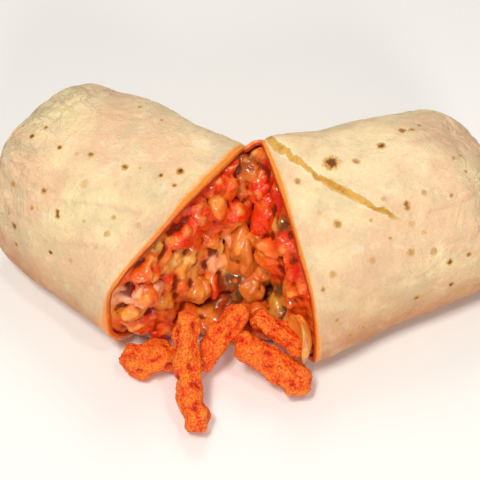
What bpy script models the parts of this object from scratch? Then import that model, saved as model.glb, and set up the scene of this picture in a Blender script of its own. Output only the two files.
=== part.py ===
"""A stuffed burrito, cut across and opened like a book towards the front.

One flour tortilla wraps both halves and runs unbroken over the hinge at the back. The filling of chicken,
cheese sauce and corn puffs goes through both halves and fills the mouth between the two cut faces. A few
puffs have tumbled out of the cut and lean in the mouth. Metres, +Z up, the front of the mouth towards -Y.
"""

import math

import bmesh
import bpy
from mathutils import Vector, noise

# The wrap
TORTILLA = 0.0022  # thickness of the sheet
GAP = 0.0003  # between neighbours
HEIGHT = 0.067
BASE_SINK = 0.0016  # how much of the round underside is pressed flat by the weight
HINGE = Vector((0.0000, 0.0295, 0.0))  # foot of the fold that joins the halves at the back
HINGE_HALF = 0.0022  # half the width of the tortilla strip that bridges the hinge
HINGE_ARC = (108.0, 236.0)  # the part of the section, in degrees, that the knife left whole
WALL_RINGS, WALL_SIDES = 11, 32
FLARE_TURNS = (5, 28, 51, 74, 97)  # degrees round the section, where the sheet beside the cut swells or dips

# The mouth between the cut faces
MOUTH_DEG = 261.0  # direction in which it opens
CORE_BACK = 0.0015  # how far the packed filling stops short of the cut at the rim
CORE_PLAY = 0.0012  # between the packed filling and the tortilla round it
CORE_RINGS, CORE_SIDES, FACE_RINGS = 5, 20, 6

# Corn puffs
PUFF_SIDES, PUFF_RINGS = 8, 12

# Pieces in the mouth, in millimetres: how far out from the hinge, how far to the right, and how high.
# Chicken: the middle, the full size, and the turn in degrees.
CHICKEN = (
    ((14.0, 0.5, 52.5), (13.0, 12.5, 18.0), (-20, 0, 10)),
    ((33.5, 2.2, 28.5), (14.0, 15.0, 22.0), (-20, 5, 0)),
    ((34.5, 11.0, 20.5), (11.0, 10.0, 8.5), (0, 15, 0)),
    ((41.0, 6.0, 15.5), (12.0, 12.0, 13.0), (10, 0, 20)),
    ((61.5, -30.0, 33.0), (10.0, 13.0, 12.0), (0, 0, -36)),
    ((46.0, -13.5, 18.0), (10.0, 10.0, 12.0), (0, 10, 0)),
    ((46.0, 10.5, 9.0), (11.0, 10.0, 9.0), (0, 0, 30)),
)

# Puffs gone soft in the sauce: both tips, and the radius.
SOFT_PUFFS = (
    ((36.0, -12.0, 57.5), (42.5, -19.0, 46.5), 4.1),
    ((33.0, -14.5, 42.0), (50.0, -23.0, 48.0), 4.4),
    ((33.5, -14.0, 54.5), (22.0, 1.5, 38.0), 5.4),
    ((12.0, 4.5, 56.0), (26.0, 6.5, 48.5), 4.2),
    ((21.0, 9.5, 54.0), (30.0, 8.0, 34.5), 4.5),
    ((38.0, 20.5, 31.0), (48.0, 25.5, 19.5), 4.6),
)

# Clots of sauce, cheese and small scraps that are one mass with the packed filling: the middle, the full
# size and the turn about the upright.
CLOTS = (
    ((38.0, -19.0, 26.0), (13.0, 50.0, 40.0), -36),
    ((14.0, 0.0, 31.0), (20.0, 22.0, 58.0), 0),
    ((28.0, 0.0, 14.0), (34.0, 30.0, 27.0), 0),
    ((42.0, -4.0, 6.4), (46.0, 36.0, 12.0), 0),
    ((24.0, -8.0, 54.5), (12.0, 12.0, 13.0), 0),
    ((17.0, -7.5, 58.0), (9.0, 12.0, 8.0), -30),
    ((43.0, -21.0, 34.0), (12.0, 12.0, 13.0), 0),
    ((46.0, -21.0, 27.0), (14.0, 11.0, 13.0), 0),
    ((50.0, -23.0, 20.0), (15.0, 12.0, 13.0), 0),
    ((55.5, -26.5, 16.0), (14.0, 13.0, 12.0), 0),
    ((62.0, -33.0, 15.5), (11.0, 13.0, 12.0), -36),
    ((58.0, -27.0, 10.0), (15.0, 14.0, 12.0), 0),
    ((54.0, -18.0, 8.5), (14.0, 13.0, 12.0), 0),
    ((31.0, -12.0, 33.0), (12.0, 10.0, 11.0), 0),
    ((36.5, -16.0, 30.5), (12.0, 10.0, 9.0), 0),
    ((35.5, -8.5, 23.0), (11.0, 10.0, 11.0), 0),
    ((41.0, -9.0, 15.0), (8.0, 8.0, 13.0), 0),
    ((53.0, -27.5, 42.0), (10.0, 14.0, 11.0), -36),
    ((59.0, -31.5, 43.0), (9.0, 12.0, 10.0), -36),
    ((63.0, -34.5, 25.0), (9.0, 13.0, 10.0), -36),
    ((27.0, 15.0, 44.5), (9.0, 9.0, 8.0), 18),
    ((12.5, 6.5, 55.0), (8.0, 10.0, 12.0), 18),
    ((21.0, 12.5, 50.5), (8.0, 10.0, 9.0), 18),
    ((36.5, 15.0, 34.0), (15.0, 14.0, 15.0), 0),
    ((38.0, 20.0, 33.0), (10.0, 12.0, 11.0), 18),
    ((50.0, 18.5, 8.5), (15.0, 12.0, 12.0), 0),
    ((45.0, 21.0, 9.0), (14.0, 14.0, 17.0), 18),
    ((54.0, 26.0, 10.0), (12.0, 18.0, 15.0), 18),
    ((54.0, 5.0, 4.6), (14.0, 13.0, 8.0), 0),
    ((20.0, 3.0, 38.0), (11.0, 12.0, 13.0), 0),
)

# A fold of the tortilla's inner layer that stands out of the right half's cut: middle, full size, turn.
FOLD = ((64.5, 30.5, 22.0), (4.0, 15.0, 31.0), (8, -6, 18))

# Puffs tumbled out of the cut: three points of the route over the plate from the hinge, and the radius.
LOOSE_PUFFS = (
    ((-23.0, -61.0, 28.0), (-28.0, -77.0, 17.5), (-18.5, -99.5, 5.2), 4.9),
    ((-2.5, -55.0, 22.5), (-11.5, -61.5, 17.0), (-19.0, -73.0, 7.0), 4.7),
    ((-6.5, -65.0, 14.5), (7.0, -73.5, 12.5), (21.5, -80.5, 6.5), 6.2),
    ((0.0, -57.0, 19.5), (11.0, -62.5, 18.5), (21.0, -71.5, 15.0), 4.2),
    ((-50.0, -69.0, 7.6), (-39.0, -69.0, 8.2), (-28.5, -66.0, 7.2), 6.6),
)


class Half:
    """One half of the wrap: how it lies, and how its section changes from the cut to the folded end."""

    def __init__(self, axis_deg, cut_deg, side, width, length, crown, front_power, front_waist, overhang, bow,
                 end_size, end_power, flare, seam=False):
        axis, cut = math.radians(axis_deg), math.radians(cut_deg)
        self.along = Vector((math.cos(axis), math.sin(axis), 0))
        self.across = Vector((-math.sin(axis), math.cos(axis), 0)) * side  # from the back wall to the front
        cut_line = Vector((math.cos(cut), math.sin(cut), 0))
        self.bias = cut_line.dot(self.along) / cut_line.dot(self.across)
        self.width, self.length = width, length
        self.crown, self.front_power, self.front_waist = crown, front_power, front_waist
        self.overhang = overhang  # how far the cut's top leans out over its foot, as a slope
        self.bow = bow  # how deep the cut is dished at the middle of its front edge
        self.end_size, self.end_power = end_size, end_power
        self.flare = flare  # how far the sheet swells beside the cut, at each of FLARE_TURNS
        self.seam = seam
        self.phase = axis_deg / 20

    def section(self, along, angle, inset=0.0):
        """Where the wall lies at a distance along the half: (across, height)."""
        width, height, length = self.width, HEIGHT, self.length
        (end_width, end_height), even_out = self.end_size, 0.060
        narrow = max(0.0, min(1.0, (along - length + end_width) / end_width))
        lower = max(0.0, min(1.0, (along - length + end_height) / end_height))
        keep_width = (1 - narrow**3.2) ** (1 / 3.2)
        keep_height = (1 - lower**self.end_power) ** (1 / self.end_power)
        even = max(0.0, min(1.0, along / even_out))
        front_power = self.front_power + (2.2 - self.front_power) * even
        crown = self.crown + (0.5 - self.crown) * even
        c, s = math.cos(angle), math.sin(angle)
        power = 3.0 if s < 0 else front_power if c > 0 else 2.4
        spread = math.copysign(abs(c) ** (2 / power), c)
        rise = abs(s) ** (2 / power)
        to_front = max(0.0, min(1.0, c * 3 + 0.5))
        waist = (0.36 + (self.front_waist - 0.36) * (1 - even) * to_front) * height
        reach = (1 - crown) * width if c > 0 else crown * width
        across = crown * width + reach * spread
        up = waist + (height - waist) * rise if s >= 0 else waist * (1 - rise)
        across = width / 2 + keep_width * (across - width / 2)
        fold_height = 0.38 * height
        up = fold_height + keep_height * (up - fold_height)
        push = self.relief(along, angle) - inset
        outward = Vector(((across - width / 2) / width, (up - 0.42 * height) / height)).normalized()
        across += push * outward.x
        up += push * outward.y
        return across, max(up - BASE_SINK, inset)

    def relief(self, along, angle):
        """Outward swell over the lumps of filling, the tucks at the closed end and the step of the flap."""
        on_top = max(0.0, min(1.0, math.sin(angle) * 2.5 + 0.6))
        swell = math.sin(along * 95 + self.phase) * math.sin(angle * 2 + self.phase * 2)
        swell += 0.6 * math.sin(along * 170 + angle * 3 + self.phase)
        push = 0.0007 * swell * on_top
        turn = (math.degrees(angle) + 180) % 360 - 180
        beside_cut = max(0.0, min(1.0, 1 - along / 0.030)) ** 2
        for flare_deg, height in zip(FLARE_TURNS, self.flare):
            push += height * beside_cut * math.exp(-(((turn - flare_deg) / 15) ** 2))
        near_end = max(0.0, min(1.0, (along - self.length + 0.034) / 0.034))
        for tuck_deg, depth in ((38, 0.0022), (142, 0.0022), (90, 0.0012)):
            push -= depth * near_end * math.exp(-(((turn - tuck_deg) / 9) ** 2))
        if self.seam and math.sin(angle) > 0:
            edge = 0.005 + 0.024 * max(0.0, (100 - turn) / 45) ** 1.5
            past = max(0.0, min(1.0, (along - edge) / 0.003 + 0.5))
            push += 0.0010 * past * max(0.0, min(1.0, (turn - 40) / 15))
        return push

    def point(self, u, angle, inset=0.0, rim=0.0):
        """A point of the wall: u is 0 at the cut and 1 at the closed end, angle 0 faces the front, 90 is up."""
        along = self.length * u
        for _ in range(4):
            across, up = self.section(along, angle, inset)
            dish = max(0.0, 1 - (2 * up / HEIGHT - 1) ** 2) * max(0.0, min(1.0, math.cos(angle) * 2))
            cut = HINGE_HALF + self.bias * across - self.overhang * (up - 0.3 * HEIGHT) + self.bow * dish + rim
            along = cut + (self.length - inset - cut) * u
        across, up = self.section(along, angle, inset)
        spot = self.along * along + self.across * across
        return Vector((spot.x, spot.y, up))

    def rings(self, rings, sides, inset=0.0, rim=0.0):
        """Rings of points from the cut to the closed end, closer together as the end rounds over."""
        steps = [math.sin(i / rings * math.pi / 2) for i in range(rings)]
        turns = [math.tau * j / sides for j in range(sides)]
        return [[self.point(u, turn, inset, rim) for turn in turns] for u in steps]

    def tip(self, inset=0.0):
        return self.point(1.0, 0.0, inset)


LEFT = Half(
    axis_deg=139.4, cut_deg=234.9, side=1, width=0.0840, length=0.0798, crown=0.17, front_power=2.33,
    front_waist=0.38, overhang=0.136, bow=0.0069, end_size=(0.0377, 0.0235), end_power=3.5,
    flare=(-0.0015, 0.0020, -0.0019, 0.0014, -0.0003),
)
RIGHT = Half(
    axis_deg=24.3, cut_deg=285.6, side=-1, width=0.0746, length=0.0898, crown=0.18, front_power=1.98,
    front_waist=0.25, overhang=0.021, bow=0.0017, end_size=(0.0313, 0.0429), end_power=2.3,
    flare=(0.0016, 0.0015, -0.0010, 0.0007, 0.0004), seam=True,
)


def mouth(out, side, height):
    """A spot in the mouth, in millimetres: out from the hinge, sideways to the right, and up."""
    turn = math.radians(MOUTH_DEG)
    forward = Vector((math.cos(turn), math.sin(turn), 0))
    right = Vector((-forward.y, forward.x, 0))
    return (forward * out + right * side + Vector((0, 0, height))) / 1000


def new_material(name, colour, roughness):
    material = bpy.data.materials.new(name)
    material.use_nodes = True
    shader = material.node_tree.nodes["Principled BSDF"]
    shader.inputs["Base Color"].default_value = (*colour, 1)
    shader.inputs["Roughness"].default_value = roughness
    shader.inputs["Metallic"].default_value = 0
    return material


def new_object(name, bm, collection, material=None):
    mesh = bpy.data.meshes.new(name)
    bm.to_mesh(mesh)
    bm.free()
    obj = bpy.data.objects.new(name, mesh)
    collection.objects.link(obj)
    if material:
        mesh.materials.append(material)
        mesh.shade_smooth()
        mesh.set_sharp_from_angle(angle=math.radians(50))
    return obj


def applied(obj):
    """Bakes the object's modifiers into its mesh."""
    graph = bpy.context.evaluated_depsgraph_get()
    mesh = bpy.data.meshes.new_from_object(obj.evaluated_get(graph))
    obj.modifiers.clear()
    obj.data = mesh
    return obj


def bridge(bm, first, second):
    """Quads between two rings of the same number of corners."""
    count = len(first)
    for j in range(count):
        k = (j + 1) % count
        bm.faces.new((first[j], first[k], second[k], second[j]))


def half_sheet(bm, half):
    """The tortilla of one half, open at the cut and closed at the folded end. Returns its rim."""
    rows = [[bm.verts.new(p) for p in row] for row in half.rings(WALL_RINGS, WALL_SIDES)]
    for first, second in zip(rows, rows[1:]):
        bridge(bm, first, second)
    tip = bm.verts.new(half.tip())
    for j in range(WALL_SIDES):
        bm.faces.new((rows[-1][j], rows[-1][(j + 1) % WALL_SIDES], tip))
    return rows[0]


def tortilla_sheet(name, collection, grow=0.0, material=None):
    """The whole wrap as one sheet with a thickness: both halves and the strip over the hinge."""
    bm = bmesh.new()
    left, right = half_sheet(bm, LEFT), half_sheet(bm, RIGHT)
    first, last = (round(turn / 360 * WALL_SIDES) for turn in HINGE_ARC)
    outward = -mouth(1, 0, 0).normalized()
    middle = {}
    for j in range(first, last + 1):
        spot = (left[j].co + right[j].co) / 2
        width = (left[j].co - right[j].co).length
        middle[j] = bm.verts.new(spot + outward * width * 0.22)
    for j in range(first, last):
        bm.faces.new((left[j], left[j + 1], middle[j + 1], middle[j]))
        bm.faces.new((middle[j], middle[j + 1], right[j + 1], right[j]))
    bmesh.ops.recalc_face_normals(bm, faces=bm.faces)
    top = max(bm.faces, key=lambda face: face.calc_center_median().z)
    if top.normal.z < 0:
        bmesh.ops.reverse_faces(bm, faces=bm.faces)
    sheet = new_object(name, bm, collection)
    thick = sheet.modifiers.new("Thickness", "SOLIDIFY")
    thick.thickness = TORTILLA + 2 * grow
    thick.offset = 2 * grow / thick.thickness - 1
    thick.use_rim = True
    applied(sheet)
    if material:
        sheet.data.materials.append(material)
        sheet.data.shade_smooth()
        sheet.data.set_sharp_from_angle(angle=math.radians(50))
    return sheet


def core(half, collection):
    """The packed filling inside one half, from the lumpy face at the cut to the folded end."""
    bm = bmesh.new()
    inset = TORTILLA + CORE_PLAY
    rows = half.rings(CORE_RINGS, CORE_SIDES, inset, rim=CORE_BACK)
    rim = rows[0]
    middle = sum(rim, Vector()) / CORE_SIDES
    out = -half.along
    for ring in range(1, FACE_RINGS):
        share = ring / FACE_RINGS
        face = [p.lerp(middle, share) for p in rim]
        rows.insert(0, [p + out * min(1.0, share * 3) * face_relief(p) for p in face])
    rings = [[bm.verts.new(p) for p in row] for row in rows]
    for first, second in zip(rings, rings[1:]):
        bridge(bm, first, second)
    for ring, tip in ((rings[0], middle + out * face_relief(middle)), (rings[-1], half.tip(inset))):
        end = bm.verts.new(tip)
        for j in range(CORE_SIDES):
            bm.faces.new((ring[j], ring[(j + 1) % CORE_SIDES], end))
    bmesh.ops.recalc_face_normals(bm, faces=bm.faces)
    return new_object("core", bm, collection)


def face_relief(spot):
    """How far the filling stands out of the cut at a spot: rounded clots with creases between them."""
    near = noise.voronoi(spot * 95)[0][0]
    return 0.0015 + 0.0055 * max(0.0, 1 - near**2 * 1.6)


def lump(name, collection, spot, size, turn=(0, 0, 0), rough=0.12, seed=0, material=None, cup=0.0):
    """A rounded chunk with uneven sides, such as diced chicken or a clot of sauce. size is full length, and
    cup is how far the rim of a flat one stands forward of its middle."""
    bm = bmesh.new()
    bmesh.ops.create_icosphere(bm, subdivisions=2, radius=1)
    shift = Vector((seed * 3.1, seed * 1.7, seed * 0.9))
    for vert in bm.verts:
        swell = 1 + rough * 2 * noise.noise(vert.co * 1.6 + shift)
        rise = cup * (vert.co.y**2 + vert.co.z**2 * 0.5)
        vert.co = Vector([x * side / 2 for x, side in zip(vert.co * swell, size)])
        vert.co.x -= rise
    obj = new_object(name, bm, collection, material)
    obj.location = spot
    obj.rotation_euler = [math.radians(angle) for angle in turn]
    return obj


def puff(name, collection, route, radius, material=None, seed=0):
    """A knobbly corn puff along a short route of points: a sphere drawn out into a bent rod with round ends."""
    bm = bmesh.new()
    bmesh.ops.create_uvsphere(bm, u_segments=PUFF_SIDES, v_segments=PUFF_RINGS, radius=1)
    if len(route) == 2:
        route = route[0], (route[0] + route[1]) / 2, route[1]
    a, b, c = [p - route[1] for p in route]
    length = (b - a).length + (c - b).length
    for vert in bm.verts:
        u = (1 - vert.co.z) / 2
        spot = a * (1 - u) ** 2 + b * 2 * u * (1 - u) + c * u**2
        heading = ((b - a) * (1 - u) + (c - b) * u).normalized()
        sideways = heading.cross(Vector((0, 0, 1))).normalized()
        upward = sideways.cross(heading)
        around = Vector((vert.co.x, vert.co.y, 0)).normalized()
        from_end = min(1.0, min(u, 1 - u) * length / radius)
        knob = 1 + 0.22 * noise.noise(Vector((around.x * 0.8 + seed, around.y * 0.8, u * length * 130 + seed)))
        girth = radius * knob * math.sqrt(1 - (1 - from_end) ** 2)
        vert.co = spot + (sideways * around.x + upward * around.y) * girth
    bmesh.ops.remove_doubles(bm, verts=bm.verts, dist=0.00001)
    obj = new_object(name, bm, collection, material)
    obj.location = route[1]
    return obj


def grown(obj, by, collection):
    """A copy of an object, swollen all over, to cut its neighbours clear of it."""
    bm = bmesh.new()
    bm.from_mesh(obj.data)
    bmesh.ops.recalc_face_normals(bm, faces=bm.faces)
    for vert, normal in [(v, v.normal.copy()) for v in bm.verts]:
        vert.co += normal * by
    room = new_object(obj.name + "_room", bm, collection)
    room.location = obj.location
    room.rotation_euler = obj.rotation_euler
    return room


def joined(obj, pieces, operation):
    """One Boolean of the object with a collection, which is then emptied."""
    change = obj.modifiers.new("Join", "BOOLEAN")
    change.operation = operation
    change.operand_type = "COLLECTION"
    change.collection = pieces
    applied(obj)
    for piece in list(pieces.objects):
        bpy.data.objects.remove(piece)
    return obj


def cut_clear(obj, cutters, collection):
    """Cuts an object clear of others by the usual gap."""
    for cutter in cutters:
        grown(cutter, GAP * 1.3, collection)
    return joined(obj, collection, "DIFFERENCE")


def largest_body(obj):
    """Drops the loose scraps that a cut left, counting faces as joined only across an edge."""
    bm = bmesh.new()
    bm.from_mesh(obj.data)
    bmesh.ops.remove_doubles(bm, verts=bm.verts, dist=0.000005)
    left = set(bm.faces)
    bodies = []
    while left:
        edge, body = [left.pop()], set()
        while edge:
            face = edge.pop()
            body.add(face)
            for near in (other for e in face.edges for other in e.link_faces):
                if near in left:
                    left.remove(near)
                    edge.append(near)
        bodies.append(body)
    keep = max(bodies, key=len)
    bmesh.ops.delete(bm, geom=[face for face in bm.faces if face not in keep], context="FACES")
    bm.to_mesh(obj.data)
    bm.free()
    return obj


def millimetres(values):
    return tuple(value / 1000 for value in values)


def build():
    for obj in list(bpy.data.objects):
        bpy.data.objects.remove(obj)
    scene = bpy.context.scene.collection
    burrito = bpy.data.collections.new("burrito")
    pieces = bpy.data.collections.new("pieces")
    scene.children.link(burrito)
    scene.children.link(pieces)
    flour = new_material("flour_tortilla", (0.86, 0.72, 0.52), 0.75)
    sauce = new_material("cheese_sauce", (0.80, 0.22, 0.05), 0.25)
    meat = new_material("chicken", (0.74, 0.36, 0.16), 0.35)
    soft = new_material("soaked_puff", (0.85, 0.10, 0.03), 0.3)
    crisp = new_material("corn_puff", (0.86, 0.17, 0.03), 0.8)
    stained = new_material("stained_flour", (0.90, 0.45, 0.14), 0.4)

    wrap = tortilla_sheet("tortilla", burrito, material=flour)
    room = tortilla_sheet("tortilla_room", pieces, grow=GAP)
    room_mesh = room.data.copy()
    bpy.data.objects.remove(room)

    def clear_of_wrap(obj):
        pieces.objects.link(bpy.data.objects.new("tortilla_room", room_mesh))
        return joined(obj, pieces, "DIFFERENCE")

    loose = [
        puff(f"puff_{n + 1}", burrito, [Vector(p) / 1000 for p in route], radius / 1000, crisp, n * 2.3)
        for n, (*route, radius) in enumerate(LOOSE_PUFFS)
    ]
    chunks = [
        lump(f"chicken_{n + 1}", burrito, mouth(*spot), millimetres(size), turn, 0.16, n + 1, meat)
        for n, (spot, size, turn) in enumerate(CHICKEN)
    ]
    soaked = [
        puff(f"soaked_puff_{n + 1}", burrito, [mouth(*a), mouth(*b)], radius / 1000, soft, 20 + n * 1.7)
        for n, (a, b, radius) in enumerate(SOFT_PUFFS)
    ]
    spot, size, turn = FOLD
    fold = lump("tortilla_fold", burrito, mouth(*spot), millimetres(size), turn, 0.04, 5, stained, 0.004)

    core(RIGHT, pieces)
    for n, (spot, size, turn) in enumerate(CLOTS):
        lump("clot", pieces, mouth(*spot), millimetres(size), (0, 0, turn), 0.1, n + 30)
    filling = core(LEFT, burrito)
    filling.name = "filling"
    joined(filling, pieces, "UNION")
    clear_of_wrap(filling)

    done = []
    for piece in [fold, *chunks, *soaked]:
        clear_of_wrap(piece)
        cut_clear(piece, loose + done, pieces)
        largest_body(piece)
        done.append(piece)
    cut_clear(filling, loose + done, pieces)
    largest_body(filling)
    filling.data.materials.append(sauce)

    frame = bpy.data.objects.new("burrito_frame", None)
    burrito.objects.link(frame)
    frame.location = HINGE
    for obj in [wrap, filling, *done, *loose]:
        obj.parent = frame


build()
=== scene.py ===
import math
import random

import bmesh
import bpy
import numpy as np
from mathutils import Euler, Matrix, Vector, noise
from mathutils.bvhtree import BVHTree


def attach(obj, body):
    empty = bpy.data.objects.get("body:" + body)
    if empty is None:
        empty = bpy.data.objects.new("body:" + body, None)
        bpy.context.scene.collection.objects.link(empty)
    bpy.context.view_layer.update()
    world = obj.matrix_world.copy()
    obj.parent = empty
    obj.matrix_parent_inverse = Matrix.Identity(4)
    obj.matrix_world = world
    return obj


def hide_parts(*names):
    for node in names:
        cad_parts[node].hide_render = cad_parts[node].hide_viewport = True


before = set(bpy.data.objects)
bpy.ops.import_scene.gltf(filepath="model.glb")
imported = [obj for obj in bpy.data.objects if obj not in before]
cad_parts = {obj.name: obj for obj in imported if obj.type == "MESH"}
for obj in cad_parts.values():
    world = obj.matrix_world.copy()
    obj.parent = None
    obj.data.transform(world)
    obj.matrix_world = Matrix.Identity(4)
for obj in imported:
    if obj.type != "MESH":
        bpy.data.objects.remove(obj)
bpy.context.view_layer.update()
print("frame loaded")


view = dict(elevation=50.94, distance=0.430, fov=24.66, shiftLeft=0.0045, shiftDown=0.00267, frameSide=480)


def cameraFrame():
    tilt = math.radians(view["elevation"])
    back = Vector((0, -math.cos(tilt), math.sin(tilt)))
    upward = Vector((0, math.sin(tilt), math.cos(tilt)))
    target = Vector(hingeSpot) + Vector((-view["shiftLeft"], -0.025, 0.030)) - upward * view["shiftDown"]
    return target + back * view["distance"], back, upward


def setCamera():
    place, back, _ = cameraFrame()
    camera = bpy.data.objects.new("camera", bpy.data.cameras.new("camera"))
    camera.data.lens_unit = "FOV"
    camera.data.angle = math.radians(view["fov"])
    camera.location = place
    camera.rotation_euler = back.to_track_quat("Z", "Y").to_euler()
    bpy.context.scene.collection.objects.link(camera)
    bpy.context.scene.camera = camera


def seenRay(x, y):  # from the camera through a spot of its 480 x 480 frame
    place, back, upward = cameraFrame()
    half = math.tan(math.radians(view["fov"]) / 2)
    middle = view["frameSide"] / 2
    ray = Vector((1, 0, 0)) * (x / middle - 1) * half + upward * (1 - y / middle) * half - back
    return place, ray.normalized()


lamps = dict(
    key=dict(place=(-0.30, -0.35, 1.25), size=0.30, power=7.5, colour=(1.0, 0.97, 0.92)),
    front=dict(place=(0.25, -1.30, 0.62), size=0.34, power=5.8, colour=(1.0, 0.98, 0.95)),
    back=dict(place=(0.05, 0.80, 1.05), size=0.50, power=3.2, colour=(1.0, 0.98, 0.95)),
    sparkLeft=dict(place=(-0.13, -0.26, 0.50), size=0.050, power=0.30, colour=(1.0, 1.0, 1.0)),
    sparkRight=dict(place=(0.15, -0.14, 0.56), size=0.050, power=0.34, colour=(1.0, 1.0, 1.0)),
)
surround = dict(colour=(1.0, 0.985, 0.96), strength=0.22)


def setLight():
    bpy.context.scene.view_settings.view_transform = "Standard"
    for name, lamp in lamps.items():
        data = bpy.data.lights.new(name, "AREA")
        data.shape = "DISK"
        data.size = lamp["size"]
        data.energy = lamp["power"]
        data.color = lamp["colour"]
        item = bpy.data.objects.new(name, data)
        item.location = lamp["place"]
        item.rotation_euler = Vector(lamp["place"]).to_track_quat("Z", "Y").to_euler()
        bpy.context.scene.collection.objects.link(item)
    world = bpy.data.worlds.new("surround")
    bpy.context.scene.world = world
    world.use_nodes = True
    glow = world.node_tree.nodes["Background"]
    glow.inputs["Color"].default_value = (*surround["colour"], 1)
    glow.inputs["Strength"].default_value = surround["strength"]


class Wire:
    def __init__(self, tree, end=None):
        self.tree = tree
        self.end = end

    def node(self, kind, settings=None, sockets=None, out=0):
        made = self.tree.nodes.new(kind)
        for name, value in (settings or {}).items():
            setattr(made, name, value)
        for name, value in (sockets or {}).items():
            if isinstance(value, Wire):
                self.tree.links.new(value.end, made.inputs[name])
            else:
                made.inputs[name].default_value = value
        return Wire(self.tree, made.outputs[out])

    def calc(self, operation, first, second=0.0):
        return self.node("ShaderNodeMath", {"operation": operation}, {0: first, 1: second})

    def __add__(self, other):
        return self.calc("ADD", self, other)

    __radd__ = __add__

    def __sub__(self, other):
        return self.calc("SUBTRACT", self, other)

    def __rsub__(self, other):
        return self.calc("SUBTRACT", other, self)

    def __mul__(self, other):
        return self.calc("MULTIPLY", self, other)

    __rmul__ = __mul__

    def __truediv__(self, other):
        return self.calc("DIVIDE", self, other)

    def size(self):  # without its sign
        return self.calc("ABSOLUTE", self)

    def step(self, low, high):  # a soft step from 0 at low to 1 at high
        settings = {"interpolation_type": "SMOOTHSTEP"}
        return self.node("ShaderNodeMapRange", settings, {"Value": self, "From Min": low, "From Max": high})

    def mix(self, first, second):  # colours, by this value
        settings = {"data_type": "RGBA"}
        return self.node("ShaderNodeMix", settings, {0: self, 6: first, 7: second}, out=2)


def paint(*values):
    return (*values, 1.0)


class Finish:
    def __init__(self, name, **fixed):
        self.material = bpy.data.materials.new(name)
        self.material.use_nodes = True
        self.tree = self.material.node_tree
        self.shader = self.tree.nodes["Principled BSDF"]
        self.start = Wire(self.tree)
        self.place = self.start.node("ShaderNodeTexCoord", out=3)
        for socket, value in fixed.items():
            self.shader.inputs[socket.replace("_", " ")].default_value = value

    def noise(self, scale, detail=3.0, rough=0.55, warp=0.0, shift=(0, 0, 0), stretch=(1, 1, 1)):
        place = self.start.node("ShaderNodeMapping", {}, {"Vector": self.place, "Location": shift, "Scale": stretch})
        sockets = {"Vector": place, "Scale": scale, "Detail": detail, "Roughness": rough, "Distortion": warp}
        return self.start.node("ShaderNodeTexNoise", {}, sockets)

    def cells(self, scale):
        return self.start.node("ShaderNodeTexVoronoi", {}, {"Vector": self.place, "Scale": scale})

    def marks(self, name):
        tone = self.start.node("ShaderNodeAttribute", {"attribute_name": name})
        parts = [self.start.node("ShaderNodeSeparateColor", {}, {0: tone}, out=n) for n in range(3)]
        last = self.start.node("ShaderNodeAttribute", {"attribute_name": name}, out=3)
        return tone, (*parts, last)

    def bump(self, height, depth, strength=1.0):
        return self.start.node("ShaderNodeBump", {}, {"Height": height, "Distance": depth, "Strength": strength})

    def set(self, **sockets):
        for name, value in sockets.items():
            socket = self.shader.inputs[name.replace("_", " ")]
            if isinstance(value, Wire):
                self.tree.links.new(value.end, socket)
            else:
                socket.default_value = value
        return self.material


hingeSpot = (0.0, 0.0295, 0.0)
wrap = dict(
    thickness=0.0022, height=0.067, baseSink=0.0016, hingeHalf=0.0022, hingeArc=(108.0, 236.0),
    flareTurns=(5, 28, 51, 74, 97), rings=104, sides=192, hingeColumns=8, rimRound=0.0007,
    dentDepth=0.0009, wrinkleDepth=0.00035, creaseDepth=0.0003, gatherDepth=0.0014, flapStep=0.0012, lipSwell=0.0005,
)
mouthAngle = 261.0
playInside = 0.0003


def smooth(value, low, high):
    share = np.clip((value - low) / (high - low), 0, 1)
    return share * share * (3 - 2 * share)


def noiseAt(points, scale, seed=0.0):
    shift = Vector((seed * 3.7, seed * 1.3, seed * 2.1))
    return np.array([noise.noise(Vector(p) * scale + shift) for p in points])


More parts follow.
